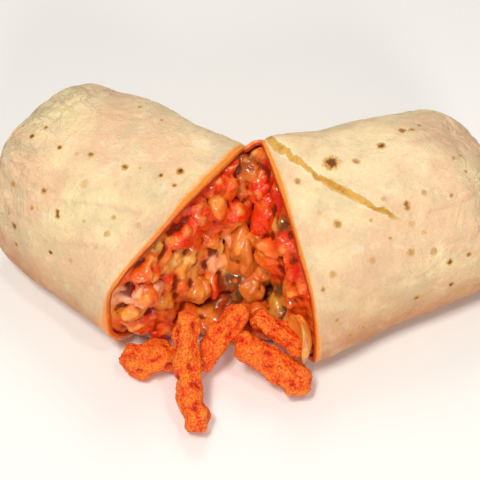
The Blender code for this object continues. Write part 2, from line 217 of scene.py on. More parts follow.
class Half:
    def __init__(self, axis, cut, side, width, length, crown, frontPower, frontWaist, overhang, bow,
                 endSize, endPower, flare, seam=False):
        axisTurn, cutTurn = math.radians(axis), math.radians(cut)
        self.along = np.array((math.cos(axisTurn), math.sin(axisTurn)))
        self.across = np.array((-math.sin(axisTurn), math.cos(axisTurn))) * side
        cutLine = np.array((math.cos(cutTurn), math.sin(cutTurn)))
        self.bias = (cutLine @ self.along) / (cutLine @ self.across)
        self.width, self.length = width, length
        self.crown, self.frontPower, self.frontWaist = crown, frontPower, frontWaist
        self.overhang, self.bow = overhang, bow
        self.endSize, self.endPower, self.flare = endSize, endPower, flare
        self.seam = seam
        self.phase = axis / 20

    def section(self, along, angle, inset=0.0):
        width, height, length = self.width, wrap["height"], self.length
        endWidth, endHeight = self.endSize
        narrow = np.clip((along - length + endWidth) / endWidth, 0, 1)
        lower = np.clip((along - length + endHeight) / endHeight, 0, 1)
        keepWidth = (1 - narrow**3.2) ** (1 / 3.2)
        keepHeight = (1 - lower**self.endPower) ** (1 / self.endPower)
        even = np.clip(along / 0.060, 0, 1)
        frontPower = self.frontPower + (2.2 - self.frontPower) * even
        crown = self.crown + (0.5 - self.crown) * even
        c, s = np.cos(angle), np.sin(angle)
        power = np.where(s < 0, 3.0, np.where(c > 0, frontPower, 2.4))
        spread = np.sign(c) * np.abs(c) ** (2 / power)
        rise = np.abs(s) ** (2 / power)
        toFront = np.clip(c * 3 + 0.5, 0, 1)
        waist = (0.36 + (self.frontWaist - 0.36) * (1 - even) * toFront) * height
        reach = np.where(c > 0, (1 - crown) * width, crown * width)
        across = crown * width + reach * spread
        up = np.where(s >= 0, waist + (height - waist) * rise, waist * (1 - rise))
        across = width / 2 + keepWidth * (across - width / 2)
        foldHeight = 0.38 * height
        up = foldHeight + keepHeight * (up - foldHeight)
        push = self.relief(along, angle) - inset
        outX, outY = (across - width / 2) / width, (up - 0.42 * height) / height
        size = np.hypot(outX, outY) + 1e-9
        across = across + push * outX / size
        up = up + push * outY / size
        return across, np.maximum(up - wrap["baseSink"], inset)

    def seamAt(self, turn):
        return 0.003 + 0.0265 * np.maximum(0.0, (92 - turn) / 39) ** 1.5

    def relief(self, along, angle):
        onTop = np.clip(np.sin(angle) * 2.5 + 0.6, 0, 1)
        swell = np.sin(along * 95 + self.phase) * np.sin(angle * 2 + self.phase * 2)
        swell = swell + 0.6 * np.sin(along * 170 + angle * 3 + self.phase)
        push = 0.0007 * swell * onTop
        nearEnd = np.clip((along - self.length + 0.034) / 0.034, 0, 1)
        turn = (np.degrees(angle) + 180) % 360 - 180
        besideCut = np.clip(1 - along / 0.030, 0, 1) ** 2
        for middle, swellHeight in zip(wrap["flareTurns"], self.flare):
            push = push + swellHeight * besideCut * np.exp(-(((turn - middle) / 15) ** 2))
        for tuck, depth in ((38, 0.0022), (142, 0.0022), (90, 0.0012)):
            push = push - depth * nearEnd * np.exp(-(((turn - tuck) / 9) ** 2))
        if self.seam:
            past = smooth(along, self.seamAt(turn) - 0.0011, self.seamAt(turn) + 0.0011)
            fade = smooth(turn, 40, 58) * (1 - smooth(turn, 112, 125)) + 0.8 * smooth(turn, 112, 125)
            push = push + wrap["flapStep"] * past * fade * (np.sin(angle) > 0)
        return push

    def cutAt(self, across, up, angle):
        height = wrap["height"]
        dish = np.maximum(0, 1 - (2 * up / height - 1) ** 2) * np.clip(np.cos(angle) * 2, 0, 1)
        return wrap["hingeHalf"] + self.bias * across - self.overhang * (up - 0.3 * height) + self.bow * dish

    def points(self, u, angle, inset=0.0, rim=0.0):
        along = self.length * u
        for _ in range(4):
            across, up = self.section(along, angle, inset)
            cut = self.cutAt(across, up, angle) + rim
            along = cut + (self.length - inset - cut) * u
        across, up = self.section(along, angle, inset)
        flat = along[..., None] * self.along + across[..., None] * self.across
        spots = np.concatenate([flat, up[..., None]], axis=-1) + np.array(hingeSpot)
        return spots, along - cut, along

    def rings(self, rings, sides, inset=0.0, rim=0.0, power=1.0):
        steps = np.sin((np.arange(rings) / rings) ** power * math.pi / 2)
        turns = np.arange(sides) * math.tau / sides
        u, angle = np.meshgrid(steps, turns, indexing="ij")
        spots, fromCut, along = self.points(u, angle, inset, rim)
        return spots, fromCut, along, np.degrees(angle)

    def tip(self, inset=0.0):
        return self.points(np.array([1.0]), np.array([0.0]), inset)[0][0]


leftHalf = Half(
    axis=139.4, cut=234.9, side=1, width=0.0840, length=0.0798, crown=0.17, frontPower=2.33, frontWaist=0.38,
    overhang=0.136, bow=0.0069, endSize=(0.0377, 0.0235), endPower=3.5,
    flare=(-0.0015, 0.0020, -0.0019, 0.0014, -0.0003),
)
rightHalf = Half(
    axis=24.3, cut=285.6, side=-1, width=0.0746, length=0.0898, crown=0.18, frontPower=1.98, frontWaist=0.25,
    overhang=0.021, bow=0.0017, endSize=(0.0313, 0.0429), endPower=2.3,
    flare=(0.0016, 0.0015, -0.0010, 0.0007, 0.0004), seam=True,
)


def mouthSpot(out, side, height):
    turn = math.radians(mouthAngle)
    forward = Vector((math.cos(turn), math.sin(turn), 0))
    right = Vector((-forward.y, forward.x, 0))
    return Vector(hingeSpot) + (forward * out + right * side + Vector((0, 0, height))) / 1000


def addPiece(name, mesh, finish=None):
    piece = bpy.data.objects.new(name, mesh)
    bpy.context.scene.collection.objects.link(piece)
    if finish:
        mesh.materials.clear()
        mesh.materials.append(finish)
    mesh.shade_smooth()
    return piece


def baked(piece):
    graph = bpy.context.evaluated_depsgraph_get()
    mesh = bpy.data.meshes.new_from_object(piece.evaluated_get(graph))
    piece.modifiers.clear()
    piece.data = mesh


def meshFrom(name, verts, faces):
    mesh = bpy.data.meshes.new(name)
    mesh.from_pydata([tuple(v) for v in verts], [], faces)
    mesh.update()
    return mesh


def paintMarks(mesh, name, tones):
    layer = mesh.attributes.new(name, "FLOAT_COLOR", "POINT")
    flat = np.ones((len(mesh.vertices), 4), dtype=np.float32)
    flat[:, : tones.shape[1]] = tones
    layer.data.foreach_set("color", flat.ravel())


def gridFaces(rows, sides, start=0):
    faces = []
    for i in range(rows - 1):
        for j in range(sides):
            k = (j + 1) % sides
            a, b = start + i * sides, start + (i + 1) * sides
            faces.append((a + j, a + k, b + k, b + j))
    return faces


toastSpots = dict(  # mm from the hinge line, turn round the half, size in mm, how dark
    left=(
        (4.3, 76, 2.0, 1.0), (2.2, 72, 1.3, 0.7), (9.6, 74, 1.3, 0.8), (22.5, 72, 1.9, 0.75), (17.0, 73, 0.8, 0.4),
        (35.9, 72, 1.6, 0.7), (48.5, 70, 1.3, 0.85), (60.4, 70, 1.5, 0.8), (58.2, 76, 1.3, 0.7),
        (27.7, 102, 0.9, 0.6), (39.1, 106, 1.2, 0.6), (57.3, 42, 1.7, 0.55), (42.9, 46, 1.8, 0.7),
        (45.0, 35, 1.4, 0.6), (32.9, 42, 1.3, 0.75), (32.1, 39, 1.5, 0.8), (51.5, 19, 2.0, 0.75),
        (54.6, 24, 1.0, 0.5), (49.9, 7, 1.4, 0.7), (29.9, 20, 1.4, 0.85), (20.1, 22, 1.3, 0.35), (13.0, 50, 1.2, 0.5),
        (10.8, 43, 1.6, 0.45), (3.4, 53, 1.5, 0.25), (21.6, 44, 0.9, 0.3), (30.1, 58, 2.2, 0.12),
        (41.1, 70, 1.2, 0.25), (55.0, 128, 1.5, 0.6), (20.0, 140, 2.2, 0.8), (38.0, 155, 1.7, 0.7),
        (50.0, 170, 2.4, 0.9), (28.0, 185, 1.5, 0.6), (62.0, 150, 1.8, 0.7), (12.0, 165, 1.4, 0.6),
        (44.0, 200, 2.0, 0.8), (33.0, 128, 1.2, 0.6), (16.0, 120, 1.0, 0.5),
    ),
    right=(
        (17.3, 78, 3.9, 1.0), (38.4, 86, 2.2, 0.85), (26.6, 78, 1.9, 0.6), (4.1, 73, 1.7, 0.6), (10.8, 54, 2.2, 0.62),
        (6.2, 60, 1.2, 0.2), (28.6, 60, 1.3, 0.4), (37.2, 57, 1.6, 0.75), (36.9, 54, 1.4, 0.65), (44.7, 60, 1.5, 0.5),
        (28.0, 44, 1.0, 0.55), (22.3, 53, 0.9, 0.5), (36.3, 46, 1.6, 0.3), (40.3, 42, 1.3, 0.25),
        (33.5, 34, 2.0, 0.5), (19.9, 36, 1.7, 0.42), (3.8, 35, 1.9, 0.45), (-2.2, 32, 1.4, 0.6),
        (43.2, 30, 1.9, 0.45), (48.9, 20, 1.9, 0.85), (50.2, 6, 1.7, 0.9), (34.2, 8, 1.8, 0.75), (57.0, 21, 1.5, 0.7),
        (56.0, -2, 3.0, 0.35), (5.5, 6, 1.0, 0.6), (0.7, 16, 1.2, 0.55), (11.5, 6, 1.1, 0.5), (54.2, 56, 1.1, 0.6),
        (62.2, 79, 1.2, 0.6), (65.9, 81, 1.0, 0.5), (63.8, 70, 1.1, 0.5), (49.6, 96, 1.8, 0.7), (53.7, 98, 1.5, 0.6),
        (58.2, 104, 1.2, 0.6), (22.0, 150, 2.4, 0.85), (40.0, 165, 1.8, 0.7), (14.0, 180, 1.5, 0.6),
        (60.0, 140, 2.0, 0.8), (34.0, 195, 1.7, 0.7), (52.0, 185, 2.2, 0.8), (70.0, 50, 1.6, 0.7),
        (30.0, 130, 1.3, 0.6),
    ),
)
creaseLines = dict(  # mm from the hinge line, turn
    left=(
        ((37.0, 45), (26.6, 50), (19.6, 53), (13.4, 55), (6.0, 57)), ((34.5, 23), (22.3, 30), (14.1, 35), (6.5, 38)),
        ((62.0, 52), (50.0, 47), (38.0, 49)), ((70.0, 62), (60.0, 57), (51.0, 58)),
        ((66.0, 30), (56.0, 26), (44.0, 28)), ((58.0, 100), (47.0, 92), (34.0, 96)),
        ((30.0, 130), (22.0, 118), (9.0, 121)), ((64.0, 160), (48.0, 150), (30.0, 158)),
    ),
    right=(
        ((70.0, 60), (58.0, 52), (44.0, 50)), ((24.0, 24), (38.0, 20), (52.0, 27)),
        ((64.0, 95), (50.0, 88), (42.0, 90)), ((28.0, 12), (17.0, 19), (9.0, 22)),
        ((66.0, 38), (60.0, 30), (48.0, 33)), ((30.0, 145), (42.0, 138), (60.0, 146)),
    ),
)
stainBand = dict(lineWidth=0.0007, leftWidth=0.0058, rightWidth=0.0014, topWidth=0.0023)


def lineGap(along, turn, line):  # mm from a line of spots on the half's skin
    least = np.full(along.shape, 1e3)
    x, y = along * 1000, turn * 0.68
    for (firstX, firstTurn), (nextX, nextTurn) in zip(line, line[1:]):
        stepX, stepY = nextX - firstX, (nextTurn - firstTurn) * 0.68
        share = np.clip(((x - firstX) * stepX + (y - firstTurn * 0.68) * stepY) / (stepX**2 + stepY**2), 0, 1)
        least = np.minimum(least, np.hypot(x - firstX - share * stepX, y - firstTurn * 0.68 - share * stepY))
    return least


def toastMarks(spots, along, turn, where):  # from each place to the nearest spot's middle, in spot radii
    flat = where.reshape(-1, 3)
    best = np.full(len(flat), 1e3)
    offset, dark, mask = np.full((len(flat), 3), 9.0), np.zeros(len(flat)), np.zeros(len(flat))
    for distance, angle, size, depth in spots:
        near = np.argmin((along - distance / 1000) ** 2 + ((turn - angle) * 0.0007) ** 2)
        apart = flat - flat[near]
        gap = np.linalg.norm(apart, axis=1)
        closer = gap < best
        best = np.where(closer, gap, best)
        offset[closer] = apart[closer] / (size * 0.00072)
        dark[closer] = depth
        mask[closer] = np.clip(1 - gap[closer] / max(0.0022, size * 0.0019), 0, 1)
    return offset, dark, mask


def makeTortilla(finish, rimFinish, innerFinish):
    rings, sides = wrap["rings"], wrap["sides"]
    verts, faces, tones, foldsAndShade, offsets, seams = [], [], [], [], [], []
    rims = []
    for half, side in ((leftHalf, "left"), (rightHalf, "right")):
        start = sum(len(block) for block in verts)
        where, fromCut, along, turn = half.rings(rings, sides, power=1.06)
        turned = (turn + 60) % 360 - 60
        flat = where.reshape(-1, 3)
        level = flat[:, :2] - np.array(hingeSpot)[:2] - np.outer(along.ravel(), half.along)
        outward = np.concatenate([level - half.across * half.width / 2, flat[:, 2:] - 0.028], axis=1)
        outward /= np.linalg.norm(outward, axis=1)[:, None]
        lift = noiseAt(flat, 42, 1) * wrap["dentDepth"] + noiseAt(flat, 150, 2) * wrap["wrinkleDepth"]
        ridge = np.abs(noiseAt(flat * np.array((1, 1, 0.6)), 75, 3))
        nearEnd = smooth(along.ravel(), half.length - 0.040, half.length - 0.004)
        lift -= (1 - smooth(ridge, 0.0, 0.10)) * 0.0007 * (0.35 + nearEnd)
        around = np.radians(turn.ravel())
        pleats = np.stack([np.cos(around) * 2.6, np.sin(around) * 2.6, along.ravel() * 22], axis=1)
        gathers = noiseAt(pleats, 1.0, 6) + 0.5 * noiseAt(pleats, 2.3, 7)
        lift += wrap["gatherDepth"] * nearEnd * gathers
        crease = np.zeros(along.shape)
        for line in creaseLines[side]:
            gap = lineGap(along, turned, line)
            crease = np.maximum(crease, np.clip(1 - gap / 1.3, 0, 1))
            lift += 0.00025 * np.exp(-(((gap - 2.2) / 1.6) ** 2)).ravel()
        lift -= wrap["creaseDepth"] * crease.ravel()
        lift += wrap["lipSwell"] * np.exp(-fromCut.ravel() / 0.0020)
        lift *= smooth(flat[:, 2], 0.0004, 0.006)
        lift *= smooth(np.linalg.norm(flat - half.tip(), axis=1), 0.002, 0.014)  # rings stay open where they close in
        flat = flat + outward * lift[:, None]
        flat[:, 2] = np.maximum(flat[:, 2], 0.0)
        tip = half.tip()
        verts.append(np.vstack([flat, tip]))
        faces += gridFaces(rings, sides, start)
        last = start + (rings - 1) * sides
        faces += [(last + j, last + (j + 1) % sides, start + rings * sides) for j in range(sides)]
        rims.append(start)
        offset, dark, mask = toastMarks(toastSpots[side], along, turned, where)
        offsets.append(np.vstack([offset, (9, 9, 9)]))
        # how low the skin lies; it widens the real sauce stain here, and in the finish it carries painted shade and
        # painted orange bounce light towards the bottom
        low = 1 - smooth(where[..., 2], 0.010, 0.042)
        wide = stainBand[side + "Width"]
        front = smooth(np.cos(np.radians(turn)), 0.0, 0.7)
        width = stainBand["lineWidth"] + wide * front * (0.05 + 0.95 * low**1.5)
        top = smooth(np.sin(np.radians(turn)), 0.85, 0.98)
        width = width + stainBand["topWidth"] * top * smooth(along, 0.003, -0.004)
        stain = np.clip(1 - fromCut / (2 * width), 0, 1)
        seamGap, seamHere = np.ones(along.shape), np.zeros(along.shape)
        if half.seam:
            seamGap = np.clip((along - half.seamAt(turned)) / 0.008, -1, 1) * 0.5 + 0.5
            seamHere = smooth(turned, 49, 54) * (1 - smooth(turned, 108, 120))
        seams.append(np.vstack([np.stack([seamGap.ravel(), seamHere.ravel()], axis=1), (1, 0)]))
        block = np.stack([mask, dark, stain.ravel(), np.zeros(stain.size)], axis=1)
        tones.append(np.vstack([block, (0, 0, 0, 0)]))
        # the foldsAndShade marks: crease, nearness to the end, how far the skin is raised, and how low it lies; the
        # finish paints shade from them
        block = np.stack([crease.ravel(), nearEnd, np.clip(0.5 + lift / 0.0024, 0, 1), low.ravel()], axis=1)
        foldsAndShade.append(np.vstack([block, (0, 1, 0.5, 0)]))
    first, final = (round(turn / 360 * sides) for turn in wrap["hingeArc"])
    columns = wrap["hingeColumns"]
    everything = np.vstack(verts)
    start = len(everything)
    outward = -np.array(mouthSpot(1000, 0, 0) - Vector(hingeSpot))
    outward /= np.linalg.norm(outward)
    strip = []
    for j in range(first, final + 1):
        a, b = everything[rims[0] + j], everything[rims[1] + j]
        width = np.linalg.norm(a - b)
        for c in range(1, columns):
            share = c / columns
            strip.append(a + (b - a) * share + outward * width * 0.88 * share * (1 - share))

    def stripIndex(j, c):
        if c == 0:
            return rims[0] + j
        if c == columns:
            return rims[1] + j
        return start + (j - first) * (columns - 1) + c - 1

    for j in range(first, final):
        for c in range(columns):
            faces.append((stripIndex(j, c), stripIndex(j + 1, c), stripIndex(j + 1, c + 1), stripIndex(j, c + 1)))
    everything = np.vstack([everything, strip])
    mesh = meshFrom("tortilla_sheet", everything, faces)
    paintMarks(mesh, "marks", np.vstack(tones + [np.tile((0, 0, 0.75, 0), (len(strip), 1))]))
    paintMarks(mesh, "foldsAndShade", np.vstack(foldsAndShade + [np.tile((0, 0, 0.5, 0), (len(strip), 1))]))
    paintMarks(mesh, "seams", np.vstack(seams + [np.tile((1, 0), (len(strip), 1))]))
    layer = mesh.attributes.new("spots", "FLOAT_VECTOR", "POINT")
    layer.data.foreach_set("vector", np.vstack(offsets + [np.full((len(strip), 3), 9.0)]).ravel())
    tool = bmesh.new()
    tool.from_mesh(mesh)
    bmesh.ops.recalc_face_normals(tool, faces=tool.faces)
    top = max(tool.faces, key=lambda face: face.calc_center_median().z)
    if top.normal.z < 0:
        bmesh.ops.reverse_faces(tool, faces=tool.faces)
    tool.to_mesh(mesh)
    skin = BVHTree.FromBMesh(tool)
    tool.free()
    piece = addPiece("tortilla_wrap", mesh)
    thick = piece.modifiers.new("thickness", "SOLIDIFY")
    thick.thickness = wrap["thickness"]
    thick.offset = -1
    thick.use_rim = True
    thick.material_offset_rim = 1
    thick.material_offset = 2
    soften = piece.modifiers.new("softRim", "BEVEL")
    soften.width = wrap["rimRound"]
    soften.segments = 2
    soften.limit_method = "ANGLE"
    soften.angle_limit = math.radians(58)
    for look in (finish, rimFinish, innerFinish):
        mesh.materials.append(look)
    baked(piece)
    deep = [skin.find_nearest(Vector(p))[3] / wrap["thickness"] for p in vertexPlaces(piece.data)]
    piece.data.attributes.new("depth", "FLOAT", "POINT").data.foreach_set("value", np.clip(deep, 0, 1))
    piece.data.shade_smooth()
    return piece


def tortillaFinish():
    finish = Finish(
        "floury_tortilla", Subsurface_Radius=(1.0, 0.6, 0.35),
        Subsurface_Weight=0.08, Subsurface_Scale=0.002, Specular_IOR_Level=0.3,
    )
    _, (near, dark, stain, _) = finish.marks("marks")
    _, (seamGap, seamHere, _, _) = finish.marks("seams")
    _, (crease, nearEnd, raised, low) = finish.marks("foldsAndShade")
    spots = finish.start.node("ShaderNodeAttribute", {"attribute_name": "spots"}, out=1)
    away = finish.start.node("ShaderNodeVectorMath", {"operation": "LENGTH"}, {0: spots}, out=1)
    broad = finish.noise(24, 3, 0.5)
    patch = finish.noise(52, 4, 0.62, warp=0.4, shift=(3, 1, 2))
    middle = finish.noise(135, 4, 0.65, shift=(1, 6, 3))
    fine = finish.noise(430, 3, 0.7)
    grain = finish.noise(1150, 2, 0.6)
    wander = finish.noise(62, 4, 0.7, warp=1.2, shift=(5, 2, 8))
    wrinkle = 1 - (wander - 0.5).size().step(0.0, 0.050)
    cream, yellow, pink, grey = (0.95, 0.73, 0.43), (0.92, 0.73, 0.39), (0.87, 0.52, 0.31), (0.63, 0.52, 0.30)
    base = broad.step(0.38, 0.60).mix(paint(*cream), paint(*yellow))
    base = (finish.noise(31, 4, 0.6, warp=0.5, shift=(7, 5, 1)).step(0.38, 0.60) * 0.80).mix(base, paint(*pink))
    # grey mottling of the skin, with more of it near the gathered ends as painted shade of the folds there
    base = (patch.step(0.48, 0.64) * (0.46 + nearEnd * 0.34)).mix(base, paint(*grey))
    base = (middle.step(0.50, 0.68) * 0.42).mix(base, paint(0.80, 0.58, 0.35))
    base = ((1 - middle.step(0.32, 0.46)) * 0.50).mix(base, paint(0.96, 0.80, 0.53))
    base = (fine.step(0.52, 0.68) * (0.14 + patch.step(0.38, 0.62) * 0.26)).mix(base, paint(0.64, 0.48, 0.27))
    base = (grain.step(0.55, 0.75) * 0.30).mix(base, paint(0.98, 0.87, 0.64))
    # painted shade: darker along the wrinkle lines, most near the gathered ends
    base = (wrinkle * (0.05 + nearEnd * 0.28) * middle.step(0.40, 0.60)).mix(base, paint(0.58, 0.42, 0.25))
    # painted shade: the skin darkens along the crease lines
    base = (crease * crease * (0.20 + fine * 0.5)).mix(base, paint(0.66, 0.38, 0.22))
    # painted shade: darker where the skin sinks into dents and hollows
    base = ((1 - raised.step(0.15, 0.50)) * 0.45).mix(base, paint(0.66, 0.45, 0.28))
    # painted shade and painted orange bounce light: darker, pinker colour towards the bottom of the wrap
    base = (low * (0.78 + (middle - 0.5) * 0.80)).mix(base, paint(0.55, 0.18, 0.065))
    ragged = away + (fine - 0.5) * 0.7 + (finish.noise(950, 2) - 0.5) * 1.2
    near = near.step(0.36, 0.46)
    halo = (1 - ragged.step(0.80, 1.40)) * near * (0.35 + dark * 0.60)
    base = halo.mix(base, paint(0.66, 0.33, 0.055))
    core = (1 - ragged.step(0.40, 0.85)) * near * dark.step(0.30, 0.95)
    base = core.mix(base, paint(0.20, 0.056, 0.003))
    across = (seamGap - 0.5) * 16 + (wander - 0.5) * 7 + (fine - 0.5) * 1.2  # mm from the flap's edge
    across = across.size()
    width = 0.40 + patch.step(0.35, 0.65) * 1.5 + middle * 0.5
    # painted highlight: a paler band beside the toasted line, where the raised flap edge catches light
    base = ((1 - across.step(1.0, 3.2)) * seamHere * 0.55).mix(base, paint(0.97, 0.85, 0.56))
    toasted = (1 - (across / width).step(0.75, 1.15)) * seamHere
    base = (toasted * 0.92).mix(base, paint(0.74, 0.38, 0.050))
    scorched = (1 - (across / width).step(0.30, 0.80)) * seamHere * middle.step(0.40, 0.60)
    base = (scorched * 0.75).mix(base, paint(0.46, 0.18, 0.014))
    soaked = stain + (fine - 0.5) * 0.30 + (patch - 0.5) * 0.5
    base = (soaked.step(0.20, 0.55) * 0.65).mix(base, paint(0.95, 0.46, 0.13))
    base = (soaked.step(0.52, 0.78) * 0.95).mix(base, paint(0.98, 0.27, 0.014))
    rough = 0.60 - soaked.step(0.4, 0.8) * 0.30 + (fine - 0.5) * 0.12
    height = fine * 0.50 + grain * 0.25 + middle * 0.9 - core * 0.25 + toasted * 0.25
    height = height - wrinkle * (0.10 + nearEnd * 0.35)
    return finish.set(Base_Color=base, Roughness=rough, Normal=finish.bump(height, 0.0013, 0.75))


def rimLook():
    finish = Finish("soaked_rim", Coat_Roughness=0.15, Subsurface_Weight=0.1, Subsurface_Scale=0.002)
    deep = finish.start.node("ShaderNodeAttribute", {"attribute_name": "depth"}, out=2)
    broad = finish.noise(90, 3, 0.6)
    fine = finish.noise(600, 3, 0.6)
    base = broad.step(0.38, 0.62).mix(paint(0.96, 0.30, 0.035), paint(0.92, 0.15, 0.010))
    base = (fine.step(0.50, 0.72) * 0.5).mix(base, paint(0.80, 0.10, 0.010))
    _, (_, _, _, low) = finish.marks("foldsAndShade")
    deep = deep + (fine - 0.5) * 0.3 + (broad - 0.5) * 0.3
    outer = low.step(0.0, 0.6).mix(paint(0.84, 0.30, 0.060), paint(0.98, 0.31, 0.030))
    base = (1 - deep.step(0.10, 0.36)).mix(base, outer)
    # soaked dark red towards the inner side of the rim, deepened as painted shade of the gap to the filling
    base = (deep.step(0.40, 0.75) * (1 - low * 0.7)).mix(base, paint(0.46, 0.036, 0.003))
    return finish.set(Base_Color=base, Roughness=0.36, Coat_Weight=0.4, Normal=finish.bump(fine, 0.0004, 0.5))


def innerLook():
    finish = Finish("soaked_and_shaded_inside", Coat_Roughness=0.12)
    fine = finish.noise(500, 3, 0.6)
    _, (_, _, _, low) = finish.marks("foldsAndShade")
    # dark red-brown inner wall: sauce-soaked skin, darkened as painted shade of the gap behind the filling; the orange
    # towards the bottom is the skin's own colour
    base = fine.step(0.35, 0.68).mix(paint(0.42, 0.040, 0.004), paint(0.70, 0.10, 0.010))
    base = (low * 0.7).mix(base, paint(0.88, 0.20, 0.018))
    return finish.set(Base_Color=base, Roughness=0.4, Coat_Weight=0.4, Normal=finish.bump(fine, 0.0004, 0.5))


chickenPieces = (
    ((14.0, 0.5, 52.5), (13.0, 12.5, 18.0), (-20, 0, 10)),
    ((33.5, 2.2, 28.5), (14.0, 15.0, 22.0), (-20, 5, 0)),
    ((34.5, 11.0, 20.5), (11.0, 10.0, 8.5), (0, 15, 0)),
    ((41.0, 6.0, 15.5), (12.0, 12.0, 13.0), (10, 0, 20)),
    ((61.5, -30.0, 33.0), (10.0, 13.0, 12.0), (0, 0, -36)),
    ((46.0, -13.5, 18.0), (10.0, 10.0, 12.0), (0, 10, 0)),
    ((46.0, 10.5, 9.0), (11.0, 10.0, 9.0), (0, 0, 30)),
)
softPuffs = (
    ((36.0, -12.0, 57.5), (42.5, -19.0, 46.5), 4.1),
    ((33.0, -14.5, 42.0), (50.0, -23.0, 48.0), 4.4),
    ((33.5, -14.0, 54.5), (22.0, 1.5, 38.0), 5.4),
    ((12.0, 4.5, 56.0), (26.0, 6.5, 48.5), 4.2),
    ((21.0, 9.5, 54.0), (30.0, 8.0, 34.5), 4.5),
    ((38.0, 20.5, 31.0), (48.0, 25.5, 19.5), 4.6),
)
# olive is the colour of a real olive-green bit, and also painted shade for the morsels set in dark crevices
palette = dict(
    red=(0.72, 0.012, 0.001), orange=(0.90, 0.120, 0.006), ember=(0.88, 0.040, 0.002), gold=(0.90, 0.270, 0.022),
    cream=(0.93, 0.440, 0.095), pink=(0.92, 0.400, 0.200), tan=(0.72, 0.180, 0.018), green=(0.42, 0.190, 0.018),
    brown=(0.36, 0.058, 0.004), olive=(0.15, 0.044, 0.004), lime=(0.74, 0.360, 0.035),
)
clots = (  # as in the solids, with each one's colour
    ((38.0, -19.0, 26.0), (13.0, 50.0, 40.0), -36, "orange"),
    ((14.0, 0.0, 31.0), (20.0, 22.0, 58.0), 0, "brown"),
    ((28.0, 0.0, 14.0), (34.0, 30.0, 27.0), 0, "brown"),
    ((42.0, -4.0, 6.4), (46.0, 36.0, 12.0), 0, "brown"),
    ((24.0, -8.0, 54.5), (12.0, 12.0, 13.0), 0, "orange"),
    ((17.0, -7.5, 58.0), (9.0, 12.0, 8.0), -30, "red"),
    ((43.0, -21.0, 34.0), (12.0, 12.0, 13.0), 0, "cream"),
    ((46.0, -21.0, 27.0), (14.0, 11.0, 13.0), 0, "cream"),
    ((50.0, -23.0, 20.0), (15.0, 12.0, 13.0), 0, "orange"),
    ((55.5, -26.5, 16.0), (14.0, 13.0, 12.0), 0, "orange"),
    ((62.0, -33.0, 15.5), (11.0, 13.0, 12.0), -36, "orange"),
    ((58.0, -27.0, 10.0), (15.0, 14.0, 12.0), 0, "red"),
    ((54.0, -18.0, 8.5), (14.0, 13.0, 12.0), 0, "orange"),
    ((31.0, -12.0, 33.0), (12.0, 10.0, 11.0), 0, "cream"),
    ((36.5, -16.0, 30.5), (12.0, 10.0, 9.0), 0, "cream"),
    ((35.5, -8.5, 23.0), (11.0, 10.0, 11.0), 0, "cream"),
    ((41.0, -9.0, 15.0), (8.0, 8.0, 13.0), 0, "orange"),
    ((53.0, -27.5, 42.0), (10.0, 14.0, 11.0), -36, "cream"),
    ((59.0, -31.5, 43.0), (9.0, 12.0, 10.0), -36, "red"),
    ((63.0, -34.5, 25.0), (9.0, 13.0, 10.0), -36, "cream"),
    ((27.0, 15.0, 44.5), (9.0, 9.0, 8.0), 18, "green"),
    ((12.5, 6.5, 55.0), (8.0, 10.0, 12.0), 18, "red"),
    ((21.0, 12.5, 50.5), (8.0, 10.0, 9.0), 18, "red"),
    ((36.5, 15.0, 34.0), (15.0, 14.0, 15.0), 0, "orange"),
    ((38.0, 20.0, 33.0), (10.0, 12.0, 11.0), 18, "red"),
    ((50.0, 18.5, 8.5), (15.0, 12.0, 12.0), 0, "cream"),
    ((45.0, 21.0, 9.0), (14.0, 14.0, 17.0), 18, "green"),
    ((54.0, 26.0, 10.0), (12.0, 18.0, 15.0), 18, "orange"),
    ((54.0, 5.0, 4.6), (14.0, 13.0, 8.0), 0, "tan"),
    ((20.0, 3.0, 38.0), (11.0, 12.0, 13.0), 0, "brown"),
    ((7.5, 1.5, 58.0), (9.0, 9.0, 8.0), 0, "gold"),
    ((10.0, 3.0, 60.0), (6.0, 8.0, 6.0), 0, "orange"),
    ((17.0, -4.0, 44.0), (12.0, 12.0, 14.0), 0, "brown"),
    ((29.0, -6.0, 41.0), (11.0, 11.0, 14.0), 0, "tan"),
)
foldShape = ((64.5, 30.5, 22.0), (4.0, 15.0, 31.0), (8, -6, 18))
loosePuffs = (
    ((-23.0, -61.0, 28.0), (-28.0, -77.0, 17.5), (-18.5, -99.5, 5.2), 4.9),
    ((-2.5, -55.0, 22.5), (-11.5, -61.5, 17.0), (-19.0, -73.0, 7.0), 4.7),
    ((-6.5, -65.0, 14.5), (7.0, -73.5, 12.5), (21.5, -80.5, 6.5), 6.2),
    ((0.0, -57.0, 19.5), (11.0, -62.5, 18.5), (21.0, -71.5, 15.0), 4.2),
    ((-50.0, -69.0, 7.6), (-39.0, -69.0, 8.2), (-28.5, -66.0, 7.2), 6.6),
)


def lumpMesh(tool, spot, size, turn, rough, seed, detail, cup=0.0, ripple=0.0, rippleScale=3.0):
    made = bmesh.ops.create_icosphere(tool, subdivisions=detail, radius=1)["verts"]
    shift = Vector((seed * 3.1, seed * 1.7, seed * 0.9))
    spin = Euler([math.radians(angle) for angle in turn]).to_matrix()
    for vert in made:
        swell = 1 + rough * 2 * noise.noise(vert.co * 1.6 + shift)
        if ripple:
            swell += ripple * noise.fractal(vert.co * rippleScale + shift, 0.8, 2.0, 3)
        rise = cup * (vert.co.y**2 + vert.co.z**2 * 0.5)
        place = Vector([x * side / 2000 for x, side in zip(vert.co * swell, size)])
        place.x -= rise
        vert.co = spot + spin @ place


def faceRelief(spot):
    near = noise.voronoi(Vector(spot) * 95)[0][0]
    return 0.0015 + 0.0055 * max(0.0, 1 - near**2 * 1.6)


